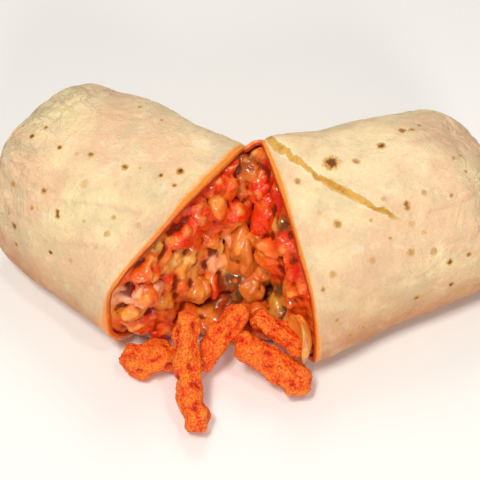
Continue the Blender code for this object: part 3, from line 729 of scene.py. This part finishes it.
filling = dict(voxel=0.00065, faceRings=26, faceSides=96, melt=7, meltShare=0.5, granules=60, seed=11)
morsels = (  # place in the camera's 480 x 480 frame, width, height and depth in mm, turn, how far out, colour
    (226, 166, 10, 4.5, 5, 38, 0.3, "red"), (269, 176, 4.5, 12, 5, 14, 0.3, "red"),
    (246, 163, 9, 7, 5, 0, 0.3, "brown"), (252, 174, 6, 8, 4, 0, 0.3, "tan"), (218, 183, 9, 6, 6, 30, 0.4, "ember"),
    (232, 183, 6, 6, 5, 0, 0.4, "orange"), (208, 190, 5, 4, 4, 30, 0.3, "red"), (216, 205, 7, 9, 6, -10, 0.5, "gold"),
    (233, 213, 10.5, 10.5, 9, 0, 0.6, "ember"), (222, 210, 6, 8, 6, 0, 0.5, "ember"),
    (197, 206, 6, 10, 6, -20, 0.5, "red"), (201, 221, 5, 5, 5, 0, 0.4, "red"),
    (256, 193, 7.5, 6.5, 6, 20, 0.5, "red"), (264, 188, 4, 4, 4, 0, 0.4, "ember"),
    (277, 196, 5, 14, 5, 12, 0.3, "red"), (266, 218, 8, 13, 7, 10, 0.3, "ember"),
    (283, 224, 4.5, 7, 4, 15, 0.4, "olive"), (274, 226, 3, 5, 3, 10, 0.4, "cream"),
    (272, 247, 10, 8, 7, -10, 0.55, "orange"), (286, 244, 9, 9, 7, 0, 0.5, "ember"),
    (290, 258, 6, 7, 6, 0, 0.4, "ember"), (236, 222, 5, 4, 3, 0, 0.3, "gold"), (241, 196, 5, 7, 4, 0, 0.3, "tan"),
    (229, 240, 3.5, 7, 4, 10, 0.5, "pink"), (213, 224, 8, 7, 6, 50, 0.5, "ember"),
    (208, 236, 7, 12, 6, 40, 0.5, "orange"), (217, 246, 5, 8, 5, 20, 0.5, "cream"),
    (212, 262, 4.5, 9, 4.5, 10, 0.5, "pink"), (214, 289, 5, 8, 5, 0, 0.6, "ember"),
    (211, 278, 4.5, 8, 4.5, 5, 0.5, "orange"), (182, 231, 9, 8, 6, 30, 0.5, "ember"),
    (170, 240, 5, 5, 5, 0, 0.4, "gold"), (194, 245, 8, 6, 5, 20, 0.4, "orange"),
    (188, 258, 8, 6, 4, -20, 0.4, "cream"), (174, 259, 7, 6, 4, 0, 0.4, "cream"),
    (180, 270, 6, 8, 5, 10, 0.4, "gold"), (163, 250, 7, 9, 5, 30, 0.4, "orange"),
    (156, 246, 5, 5, 4, 0, 0.3, "green"), (148, 257, 7, 7, 5, 0, 0.4, "tan"), (141, 275, 9, 7, 6, 30, 0.5, "orange"),
    (153, 272, 6, 8, 5, -10, 0.4, "ember"), (129, 294, 7, 8, 7, 0, 0.55, "pink"),
    (148, 294, 9, 9, 6, 20, 0.5, "orange"), (137, 289, 4, 5, 4, 0, 0.4, "ember"),
    (166, 282, 8, 8, 6, 0, 0.5, "ember"), (164, 300, 9, 8, 6, -20, 0.5, "gold"),
    (196, 292, 8.5, 9.5, 7, 0, 0.6, "tan"), (181, 286, 6, 8, 5, 0, 0.4, "orange"),
    (181, 306, 8, 8, 6, 0, 0.5, "orange"), (126, 312, 8, 5, 5, 0, 0.4, "gold"), (147, 315, 10, 5, 5, 0, 0.4, "red"),
    (132, 323, 10, 5, 5, -10, 0.4, "orange"), (200, 312, 7, 7, 5, 0, 0.4, "gold"),
    # painted shade: the dark morsels at (226, 283), (222, 303), (237, 296) and (278, 291) fill crevices with shade-dark
    # colour
    (226, 283, 5, 8, 4, 0, 0.3, "olive"), (222, 303, 6, 7, 4, 0, 0.3, "brown"), (237, 296, 5, 7, 4, 0, 0.3, "olive"),
    (276, 304, 6, 9, 5, 15, 0.5, "lime"), (278, 291, 4, 4, 3, 0, 0.3, "olive"),
    (257, 312, 8, 8, 6, 20, 0.5, "orange"), (247, 305, 6, 7, 5, 0, 0.4, "tan"), (272, 322, 5, 8, 5, 10, 0.5, "tan"),
    (286, 322, 4.5, 6, 4, 0, 0.4, "cream"), (266, 333, 8, 6, 5, 0, 0.4, "orange"),
    (292, 275, 5, 8, 5, -10, 0.5, "ember"), (299, 272, 5, 11, 5, -10, 0.4, "red"),
    (295, 291, 8, 7, 6, 0, 0.6, "orange"), (303, 288, 5, 8, 6, 0, 0.5, "ember"),
    (292, 302, 6, 6, 5, 0, 0.5, "orange"), (284, 272, 5, 6, 5, 20, 0.4, "ember"), (250, 238, 8, 5, 4, 10, 0.4, "tan"),
    (262, 252, 5, 4, 4, 0, 0.4, "gold"), (238, 252, 4, 5, 3, 0, 0.3, "gold"),
)
mouthOutline = (
    (248, 148), (260, 151), (277, 180), (286, 215), (297, 250), (308, 290), (313, 335), (280, 345), (230, 340),
    (175, 342), (118, 335), (112, 312), (118, 290), (150, 246), (190, 198), (217, 166), (236, 152),
)
scatterTones = dict(
    left=("orange", "ember", "gold", "cream", "orange", "tan"),
    middle=("tan", "orange", "brown", "gold", "ember"),
    right=("ember", "red", "orange", "gold", "ember"),
)


def closedRings(tool, rows, tip):  # a shell through rings of places up to its tip, open at the first ring
    made = [[tool.verts.new(p) for p in row] for row in rows]
    steps = [(j, (j + 1) % len(made[0])) for j in range(len(made[0]))]
    for first, second in zip(made, made[1:]):
        for j, k in steps:
            tool.faces.new((first[j], first[k], second[k], second[j]))
    end = tool.verts.new(tip)
    for j, k in steps:
        tool.faces.new((made[-1][j], made[-1][k], end))
    return made[0]


def facePlug(tool, half):
    inset = wrap["thickness"] + playInside
    sides, rings = filling["faceSides"], filling["faceRings"]
    turns = np.arange(sides) * math.tau / sides
    rim = half.points(np.zeros(sides), turns, inset, 0.0004)[0]
    deep = half.points(np.full(sides, 0.13), turns, inset, 0.0004)[0]
    middle = rim.mean(axis=0)
    out = np.append(-half.along, 0.0)
    rows = [deep, rim]
    for ring in range(1, rings):
        share = ring / rings
        face = rim * (1 - share) + middle * share
        bulge = [min(1.0, share * 3.2) * faceRelief(np.array(p) - np.array(hingeSpot)) for p in face]
        rows.append(face + out * np.array(bulge)[:, None])
    first = closedRings(tool, rows, middle + out * faceRelief(middle - np.array(hingeSpot)))
    tool.faces.new(first[::-1])


def backCore(tool, half):
    inset = wrap["thickness"] + playInside + 0.0030  # hidden, so it stays well clear of the dented wall
    rings, sides = 28, 72
    first = closedRings(tool, half.rings(rings, sides, inset, 0.004)[0], half.tip(inset))
    tool.faces.new(first)


def insideOutline(x, y):
    hits = 0
    for (ax, ay), (bx, by) in zip(mouthOutline, mouthOutline[1:] + mouthOutline[:1]):
        if (ay > y) != (by > y) and x < ax + (y - ay) / (by - ay) * (bx - ax):
            hits += 1
    return hits % 2 == 1


def placeMorsels(tool, tree):  # lumps of sauce, cheese and filling that lie on what carries them
    places = []
    draw = random.Random(filling["seed"])
    wanted = [((x, y), size, turn, out, tone, 0.20) for x, y, *size, turn, out, tone in morsels]
    while len(wanted) < len(morsels) + filling["granules"]:
        x, y = draw.uniform(108, 316), draw.uniform(146, 345)
        if insideOutline(x, y):
            part = "left" if x < 205 else "middle" if x < 262 else "right"
            size = draw.uniform(1.2, 3.2) * draw.uniform(0.6, 1)
            tall, deep = size * draw.uniform(0.7, 1.5), size * draw.uniform(0.7, 1.0)
            tone = draw.choice(scatterTones[part])
            wanted.append(((x, y), (size, tall, deep), draw.uniform(0, 180), draw.uniform(0.0, 0.4), tone, 0.10))
    for number, ((x, y), size, turn, out, tone, rough) in enumerate(wanted):
        place, ray = seenRay(x, y)
        hit, normal, _, _ = tree.ray_cast(place, ray)
        if hit is None or (hit - Vector(hingeSpot)).length > 0.095:
            continue
        facing = (normal * 0.5 - ray * 0.5).normalized()
        level = Vector((1, 0, 0)) - facing * facing.x
        level.normalize()
        upright = facing.cross(level)
        angle = math.radians(turn)
        wide = level * math.cos(angle) + upright * math.sin(angle)
        tall = upright * math.cos(angle) - level * math.sin(angle)
        middle = hit + facing * size[2] / 2000 * (out * 1.5 - 1.05)
        for vert in bmesh.ops.create_icosphere(tool, subdivisions=3, radius=1)["verts"]:
            swell = 1 + rough * 2 * noise.noise(vert.co * 1.3 + Vector((number * 1.7, 0, 0)))
            co = vert.co * swell / 2000
            vert.co = middle + wide * co.x * size[0] + tall * co.y * size[1] + facing * co.z * size[2]
        places.append((np.array(middle), sum(size[:2]) / 4000, np.array(palette[tone]), 2.5))
    return places


def keepInside(where, spare=0.0003):  # nothing of the filling stands in or through the wrap
    walls = []
    for half in (leftHalf, rightHalf):
        rings, sides = 60, 96
        spots = half.rings(rings, sides, wrap["thickness"] + spare, -0.009)[0].reshape(-1, 3)
        spots = np.vstack([spots, half.tip(wrap["thickness"] + spare)])
        faces = gridFaces(rings, sides)
        faces += [((rings - 1) * sides + j, (rings - 1) * sides + (j + 1) % sides, rings * sides) for j in range(sides)]
        walls.append(BVHTree.FromPolygons([tuple(p) for p in spots], faces))
    depths = []
    for half in (leftHalf, rightHalf):
        flat = where[:, :2] - np.array(hingeSpot)[:2]
        along, across = flat @ half.along, flat @ half.across
        depths.append((along - half.cutAt(across, where[:, 2], 0.0), along, across))
    result = where.copy()
    for n, spot in enumerate(where):
        index = 0 if depths[0][0][n] > depths[1][0][n] else 1
        half, (deep, along, across) = (leftHalf, rightHalf)[index], depths[index]
        if deep[n] < -0.0075:
            continue
        near, normal, _, _ = walls[index].find_nearest(Vector(spot))
        outward = Vector((*(half.across * (across[n] - half.width / 2)), spot[2] - 0.028))
        if normal.dot(outward) < 0:
            normal = -normal
        if (Vector(spot) - near).dot(normal) > 0:
            result[n] = near
    return result


def wallInside(wrapPiece):  # the inner side of the finished wrap, dents and all
    mesh = wrapPiece.data
    faces = [tuple(face.vertices) for face in mesh.polygons if face.material_index == 2]
    return BVHTree.FromPolygons([tuple(vert.co) for vert in mesh.vertices], faces)


def clearOfWall(where, wall, spare=0.0002, reach=0.005):
    result = where.copy()
    for n, spot in enumerate(where):
        near, normal, _, _ = wall.find_nearest(Vector(spot), reach)
        if near is not None and (Vector(spot) - near).dot(normal) < spare:
            result[n] = near + normal * spare
    return result


def vertexPlaces(mesh, kind="co"):
    flat = np.empty(len(mesh.vertices) * 3)
    mesh.vertices.foreach_get(kind, flat)
    return flat.reshape(-1, 3)


def hollows(mesh, rounds):  # how far each spot lies below the smoothed surface
    count = len(mesh.vertices)
    ends = np.empty(len(mesh.edges) * 2, dtype=np.int32)
    mesh.edges.foreach_get("vertices", ends)
    a, b = ends[::2], ends[1::2]
    where, normals = vertexPlaces(mesh), vertexPlaces(mesh, "normal")
    links = np.maximum(1, np.bincount(ends, minlength=count))[:, None]
    mean = where.copy()
    for _ in range(rounds):
        total = [np.bincount(a, mean[b, n], count) + np.bincount(b, mean[a, n], count) for n in range(3)]
        mean = mean * 0.4 + np.stack(total, axis=1) / links * 0.6
    return ((mean - where) * normals).sum(axis=1)


def paintFood(mesh, tones, rounds, depth):  # colour, and in the last channel how deep in a crevice
    tones = np.broadcast_to(tones, (len(mesh.vertices), 3))
    hollow = np.clip(0.5 + hollows(mesh, rounds) / depth, 0, 1)
    paintMarks(mesh, "tones", np.hstack([tones, hollow[:, None]]))


def makeFilling(finish, others, wall):
    tool = bmesh.new()
    facePlug(tool, leftHalf)
    facePlug(tool, rightHalf)
    for n, (spot, size, turn, tone) in enumerate(clots):
        lumpMesh(tool, mouthSpot(*spot), size, (0, 0, turn), 0.1, n + 30, 4, ripple=0.08)
    seen = tool.copy()
    for piece in others:
        seen.from_mesh(piece.data)
    places = placeMorsels(tool, BVHTree.FromBMesh(seen))
    seen.free()
    bmesh.ops.recalc_face_normals(tool, faces=tool.faces)
    mesh = bpy.data.meshes.new("filling_mass")
    tool.to_mesh(mesh)
    tool.free()
    piece = addPiece("saucy_filling", mesh)
    fuse = piece.modifiers.new("fuse", "REMESH")
    fuse.mode = "VOXEL"
    fuse.voxel_size = filling["voxel"]
    melt = piece.modifiers.new("melt", "SMOOTH")
    melt.factor = filling["meltShare"]
    melt.iterations = filling["melt"]
    baked(piece)
    where, normals = vertexPlaces(piece.data), vertexPlaces(piece.data, "normal")
    lift = noiseAt(where, 170, 4) * 0.0010 + noiseAt(where, 380, 5) * 0.00050 + noiseAt(where, 820, 6) * 0.00022
    where = clearOfWall(keepInside(where + normals * lift[:, None]), wall)
    where[:, 2] = np.maximum(where[:, 2], 0.0004)
    piece.data.vertices.foreach_set("co", where.ravel())
    piece.data.update()
    paintFood(piece.data, colourClots(where, places), 70, 0.0036)
    piece.data.materials.clear()
    piece.data.materials.append(finish)
    back = bmesh.new()
    back.from_mesh(piece.data)
    backCore(back, leftHalf)
    backCore(back, rightHalf)
    back.to_mesh(piece.data)
    back.free()
    piece.data.shade_smooth()
    return piece


def colourClots(where, places):
    total = np.zeros((len(where), 3))
    weight = np.zeros(len(where))
    draw = random.Random(filling["seed"])
    sources = [
        (np.array(mouthSpot(*spot)), min(size) / 2000, np.array(palette[tone]), 1.0)
        for spot, size, turn, tone in clots[4:]
    ]
    for n in range(90):
        out = draw.uniform(6, 66)
        side = draw.choice((-1, 1)) * out * 0.5 + draw.uniform(-2, 2)
        tone = draw.choice(("red", "ember", "orange", "orange", "gold", "tan"))
        sources.append((np.array(mouthSpot(out, side, draw.uniform(4, 60))), 0.003, np.array(palette[tone]), 0.8))
    for middle, size, tone, strength in sources + places:
        gap = np.linalg.norm(where - middle, axis=1) / size
        pull = (np.exp(-(gap**2) * 1.6) + 1e-7) * strength
        total += pull[:, None] * tone
        weight += pull
    return total / weight[:, None]


def sauceFinish():
    finish = Finish(
        "cheese_sauce", Subsurface_Radius=(1.0, 0.35, 0.12),
        Subsurface_Weight=0.06, Subsurface_Scale=0.0015, Coat_Roughness=0.08, Specular_IOR_Level=0.15,
    )
    tone, (_, _, _, hollow) = finish.marks("tones")
    broad = finish.noise(150, 3, 0.6)
    fine = finish.noise(560, 3, 0.6)
    grain = finish.noise(1500, 2, 0.6)
    base = (broad.step(0.52, 0.68) * 0.30).mix(tone, paint(0.93, 0.24, 0.022))
    base = (finish.noise(230, 2, 0.5, shift=(2, 5, 1)).step(0.56, 0.70) * 0.5).mix(base, paint(0.80, 0.045, 0.005))
    # paler cheese colour on the bulges' tops, partly a painted highlight
    base = ((1 - hollow.step(0.22, 0.47)) * broad.step(0.40, 0.60) * 0.50).mix(base, paint(0.97, 0.42, 0.070))
    base = (fine.step(0.58, 0.74) * 0.40).mix(base, paint(0.62, 0.06, 0.006))
    base = (grain.step(0.62, 0.76) * 0.35).mix(base, paint(0.97, 0.56, 0.20))
    # painted shade: near-black deep in the crevices
    base = (hollow.step(0.54, 0.72) * 0.92).mix(base, paint(0.20, 0.012, 0.001))
    normal = finish.bump(broad * 0.6 + fine * 0.4 + grain * 0.15, 0.0013, 0.55)
    rough = 0.34 + (fine - 0.5) * 0.3
    coat = 0.85 - hollow.step(0.50, 0.68) * 0.65
    return finish.set(Base_Color=base, Roughness=rough, Coat_Weight=coat, Normal=normal)


def chickenFinish():
    finish = Finish(
        "sauced_chicken", Subsurface_Radius=(1.0, 0.4, 0.15),
        Subsurface_Weight=0.06, Subsurface_Scale=0.0015, Coat_Roughness=0.09, Specular_IOR_Level=0.15,
    )
    tone, (_, _, _, hollow) = finish.marks("tones")
    broad = finish.noise(130, 3, 0.6, warp=0.6)
    fibre = finish.noise(380, 3, 0.6, stretch=(1, 1, 0.35))
    fine = finish.noise(950, 2, 0.6)
    base = (broad.step(0.42, 0.64) * 0.50).mix(tone, paint(0.92, 0.26, 0.040))
    base = (fibre.step(0.55, 0.75) * 0.40).mix(base, paint(0.94, 0.40, 0.090))
    base = (finish.noise(210, 2, shift=(4, 1, 2)).step(0.56, 0.70) * 0.55).mix(base, paint(0.85, 0.085, 0.008))
    base = (fine.step(0.60, 0.76) * 0.40).mix(base, paint(0.45, 0.09, 0.012))
    # painted shade: dark in the crevices
    base = (hollow.step(0.55, 0.74) * 0.80).mix(base, paint(0.24, 0.022, 0.003))
    normal = finish.bump(fibre * 0.6 + fine * 0.3 + broad * 0.4, 0.0011, 0.55)
    return finish.set(Base_Color=base, Roughness=0.38, Coat_Weight=0.75, Normal=normal)


def softPuffFinish():
    finish = Finish(
        "soaked_puff", Subsurface_Radius=(1.0, 0.3, 0.1),
        Subsurface_Weight=0.06, Subsurface_Scale=0.0015, Coat_Roughness=0.08, Specular_IOR_Level=0.15,
    )
    tone, (_, _, _, hollow) = finish.marks("tones")
    broad = finish.noise(170, 3, 0.6)
    fine = finish.noise(700, 3, 0.65)
    base = (broad.step(0.44, 0.64) * 0.6).mix(tone, paint(0.92, 0.19, 0.018))
    base = (fine.step(0.54, 0.72) * 0.50).mix(base, paint(0.96, 0.36, 0.06))
    base = (finish.noise(1300, 2).step(0.60, 0.74) * 0.40).mix(base, paint(0.55, 0.012, 0.003))
    # painted shade: dark red in the crevices
    base = (hollow.step(0.53, 0.72) * 0.80).mix(base, paint(0.28, 0.008, 0.002))
    normal = finish.bump(broad * 0.5 + fine * 0.5, 0.0012, 0.55)
    return finish.set(Base_Color=base, Roughness=0.34, Coat_Weight=0.8, Normal=normal)


def crispPuffFinish():
    finish = Finish(
        "crunchy_corn_puff", Subsurface_Radius=(1.0, 0.35, 0.1),
        Subsurface_Weight=0.05, Subsurface_Scale=0.0015, Specular_IOR_Level=0.3,
    )
    _, (_, _, _, hollow) = finish.marks("tones")
    broad = finish.noise(95, 3, 0.6)
    blotch = finish.noise(330, 3, 0.65)
    powder = finish.noise(1150, 3, 0.7)
    pits = finish.cells(1000)
    base = blotch.step(0.40, 0.60).mix(paint(0.95, 0.120, 0.006), paint(0.84, 0.032, 0.003))
    base = (broad.step(0.50, 0.64) * 0.60).mix(base, paint(0.98, 0.25, 0.016))
    # painted highlight: brighter orange on the raised tops of the knobs
    base = ((1 - hollow.step(0.24, 0.48)) * 0.65).mix(base, paint(0.98, 0.25, 0.018))
    base = ((1 - powder.step(0.38, 0.48)) * 0.65).mix(base, paint(0.98, 0.34, 0.035))
    base = (powder.step(0.51, 0.62) * 0.60).mix(base, paint(0.66, 0.014, 0.002))
    # painted shade: dark red in the crevices
    base = (hollow.step(0.50, 0.66) * 0.88).mix(base, paint(0.46, 0.008, 0.001))
    height = blotch * 0.45 + powder * 0.40 + pits * 0.45
    return finish.set(Base_Color=base, Roughness=0.62 + (blotch - 0.5) * 0.2, Normal=finish.bump(height, 0.0010, 0.8))


def grainFinish():
    finish = Finish("hot_seasoning", Specular_IOR_Level=0.3)
    fine = finish.noise(900, 2, 0.6)
    base = fine.step(0.40, 0.60).mix(paint(0.96, 0.170, 0.012), paint(0.74, 0.022, 0.003))
    return finish.set(Base_Color=base, Roughness=0.6, Normal=finish.bump(finish.noise(3000, 2), 0.0002, 0.5))


def foldFinish():
    finish = Finish(
        "soaked_fold", Subsurface_Radius=(1.0, 0.5, 0.2),
        Subsurface_Weight=0.15, Subsurface_Scale=0.002, Coat_Roughness=0.15,
    )
    broad = finish.noise(110, 3, 0.6)
    fine = finish.noise(500, 3, 0.6)
    base = broad.step(0.38, 0.62).mix(paint(0.98, 0.42, 0.045), paint(0.95, 0.24, 0.018))
    base = (fine.step(0.58, 0.74) * 0.4).mix(base, paint(0.88, 0.15, 0.012))
    base = ((1 - fine.step(0.34, 0.44)) * 0.5).mix(base, paint(0.97, 0.60, 0.20))
    normal = finish.bump(broad + fine * 0.5, 0.0012, 0.6)
    return finish.set(Base_Color=base, Roughness=0.42, Coat_Weight=0.4, Normal=normal)


chunkTones = ("brown", "tan", "tan", "tan", "pink", "tan", "orange")


def makeChunk(name, shape, number, finish, tone, rough=0.15, cup=0.0, ripple=0.05, wall=None):
    spot, size, turn = shape
    tool = bmesh.new()
    lumpMesh(tool, mouthSpot(*spot), size, turn, rough, number, 5, cup, ripple, 2.0)
    mesh = bpy.data.meshes.new(name)
    tool.to_mesh(mesh)
    tool.free()
    if wall:
        mesh.vertices.foreach_set("co", clearOfWall(keepInside(vertexPlaces(mesh)), wall).ravel())
        mesh.update()
    paintFood(mesh, palette[tone], 40, 0.0016)
    return addPiece(name, mesh, finish)


crispShape = dict(
    sides=96, rings=210, rounds=80, knob=0.20, knuckle=0.0018, knuckleScale=215,
    ridge=0.00034, crumb=0.00018, cell=0.0005,
)
softShape = dict(
    sides=72, rings=140, rounds=50, knob=0.26, knuckle=0.0011, knuckleScale=170,
    ridge=0.00018, crumb=0.00008, cell=0.0002,
)


def makePuff(name, route, radius, seed, finish, shape):
    tool = bmesh.new()
    bmesh.ops.create_uvsphere(tool, u_segments=shape["sides"], v_segments=shape["rings"], radius=1)
    if len(route) == 2:
        route = [route[0], (route[0] + route[1]) / 2, route[1]]
    a, b, c = route
    length = (b - a).length + (c - b).length
    for vert in tool.verts:
        u = (1 - vert.co.z) / 2
        spot = a * (1 - u) ** 2 + b * 2 * u * (1 - u) + c * u**2
        heading = ((b - a) * (1 - u) + (c - b) * u).normalized()
        sideways = heading.cross(Vector((0, 0, 1))).normalized()
        upward = sideways.cross(heading)
        around = Vector((vert.co.x, vert.co.y, 0)).normalized()
        fromEnd = min(1.0, min(u, 1 - u) * length / radius)
        swell = noise.noise(Vector((around.x * 0.8 + seed, around.y * 0.8, u * length * 130 + seed)))
        girth = radius * (1 + shape["knob"] * swell) * math.sqrt(1 - (1 - fromEnd) ** 2)
        vert.co = spot + (sideways * around.x + upward * around.y) * girth
    bmesh.ops.remove_doubles(tool, verts=tool.verts, dist=0.00001)
    bmesh.ops.recalc_face_normals(tool, faces=tool.faces)
    tool.normal_update()
    for vert in tool.verts:
        p = vert.co
        ridge = 1 - abs(noise.noise(p * 260 + Vector((seed, 0, 0)))) * 2
        crumb = noise.fractal(p * 700, 0.9, 2.0, 3)
        knuckle = noise.noise(p * shape["knuckleScale"] + Vector((0, seed, 0)))
        cell = 0.45 - noise.voronoi(p * 620)[0][0]
        lift = shape["ridge"] * (ridge - 0.6) + shape["crumb"] * crumb + shape["knuckle"] * knuckle
        lift += shape["cell"] * cell
        vert.co = p + vert.normal * (lift - 0.0002)
    mesh = bpy.data.meshes.new(name)
    tool.to_mesh(mesh)
    tool.free()
    paintFood(mesh, palette["ember"], shape["rounds"], 0.0016)
    return addPiece(name, mesh, finish)


grains = dict(density=560000, low=0.55, high=1.25, radius=0.00021, seed=7)


def grainTree(finish):  # grains strewn over whatever mesh the modifier sits on
    tree = bpy.data.node_groups.new("strewnSeasoning", "GeometryNodeTree")
    face = tree.interface
    face.new_socket("Surface", in_out="INPUT", socket_type="NodeSocketGeometry")
    for name, kind in (("Grains per Area", "NodeSocketFloat"), ("Grain Radius", "NodeSocketFloat"),
                       ("Smallest", "NodeSocketFloat"), ("Largest", "NodeSocketFloat"), ("Seed", "NodeSocketInt")):
        face.new_socket(name, in_out="INPUT", socket_type=kind)
    face.new_socket("Grains", in_out="OUTPUT", socket_type="NodeSocketGeometry")
    given = tree.nodes.new("NodeGroupInput")
    strew = tree.nodes.new("GeometryNodeDistributePointsOnFaces")
    grain = tree.nodes.new("GeometryNodeMeshIcoSphere")
    grain.inputs["Subdivisions"].default_value = 1
    sizes = tree.nodes.new("FunctionNodeRandomValue")
    turns = tree.nodes.new("FunctionNodeRandomValue")
    turns.data_type = "FLOAT_VECTOR"
    turns.inputs["Max"].default_value = (math.tau, math.tau, math.tau)
    place = tree.nodes.new("GeometryNodeInstanceOnPoints")
    real = tree.nodes.new("GeometryNodeRealizeInstances")
    dress = tree.nodes.new("GeometryNodeSetMaterial")
    dress.inputs["Material"].default_value = finish
    result = tree.nodes.new("NodeGroupOutput")
    for source, output, target, socket in (
        (given, "Surface", strew, "Mesh"), (given, "Grains per Area", strew, "Density"), (given, "Seed", strew, "Seed"),
        (given, "Grain Radius", grain, "Radius"), (given, "Smallest", sizes, 2), (given, "Largest", sizes, 3),
        (given, "Seed", sizes, "Seed"), (strew, "Points", place, "Points"), (grain, "Mesh", place, "Instance"),
        (turns, 0, place, "Rotation"), (sizes, 1, place, "Scale"), (place, "Instances", real, "Geometry"),
        (real, "Geometry", dress, "Geometry"), (dress, "Geometry", result, "Grains"),
    ):
        tree.links.new(source.outputs[output], target.inputs[socket])
    return tree


def makeGrains(puffs, finish):
    tool = bmesh.new()
    for puff in puffs:
        tool.from_mesh(puff.data)
    mesh = bpy.data.meshes.new("seasoning_base")
    tool.to_mesh(mesh)
    tool.free()
    piece = addPiece("seasoning_grains", mesh)
    tree = grainTree(finish)
    strewn = piece.modifiers.new("strewn", "NODES")
    strewn.node_group = tree
    wanted = {"Grains per Area": float(grains["density"]), "Grain Radius": grains["radius"], "Smallest": grains["low"],
              "Largest": grains["high"], "Seed": grains["seed"]}
    for socket in tree.interface.items_tree:
        if socket.in_out == "INPUT" and socket.name in wanted:
            strewn[socket.identifier] = wanted[socket.name]
    baked(piece)
    return piece


table = dict(size=1.6, colour=(0.97, 0.955, 0.925), roughness=0.75)


def makeTable():
    half = table["size"] / 2
    corners = [(-half, -half, 0), (half, -half, 0), (half, half, 0), (-half, half, 0)]
    mesh = meshFrom("table_top", corners, [(0, 1, 2, 3)])
    finish = Finish("pale_table")
    fine = finish.noise(60, 2, 0.5)
    base = (fine * 0.06).mix(paint(*table["colour"]), paint(0.90, 0.88, 0.845))
    piece = addPiece("table_top", mesh, finish.set(Base_Color=base, Roughness=table["roughness"]))


setCamera()
setLight()
makeTable()
print("camera, light and table set")

wrapPiece = makeTortilla(tortillaFinish(), rimLook(), innerLook())
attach(wrapPiece, "root")
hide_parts("tortilla")
print("tortilla made", len(wrapPiece.data.polygons))

innerWall = wallInside(wrapPiece)
chickenLook, softLook, crispLook = chickenFinish(), softPuffFinish(), crispPuffFinish()
inMouth = []
for number, (shape, tone) in enumerate(zip(chickenPieces, chunkTones), 1):
    piece = makeChunk(f"chicken_chunk_{number}", shape, number, chickenLook, tone, wall=innerWall)
    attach(piece, "root")
    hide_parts(f"chicken_{number}")
    inMouth.append(piece)
for number, (near, far, radius) in enumerate(softPuffs, 1):
    seed = 20 + (number - 1) * 1.7
    ends = [mouthSpot(*near), mouthSpot(*far)]
    piece = makePuff(f"red_puff_{number}", ends, radius / 1000, seed, softLook, softShape)
    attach(piece, "root")
    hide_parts(f"soaked_puff_{number}")
    inMouth.append(piece)
foldPiece = makeChunk("fold_of_tortilla", foldShape, 5, foldFinish(), "gold", 0.05, 0.004, 0.06)
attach(foldPiece, "root")
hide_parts("tortilla_fold")
print("chicken, soaked puffs and fold made")

fillingPiece = makeFilling(sauceFinish(), inMouth, innerWall)
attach(fillingPiece, "root")
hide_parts("filling")
print("filling made", len(fillingPiece.data.polygons))

crispPuffs = []
for number, (*route, radius) in enumerate(loosePuffs, 1):
    spots = [Vector(hingeSpot) + Vector(p) / 1000 for p in route]
    piece = makePuff(f"crisp_puff_{number}", spots, radius / 1000, (number - 1) * 2.3, crispLook, crispShape)
    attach(piece, "root")
    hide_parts(f"puff_{number}")
    crispPuffs.append(piece)
grainPiece = makeGrains(crispPuffs, grainFinish())
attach(grainPiece, "root")
print("puffs made, with grains", len(grainPiece.data.polygons))
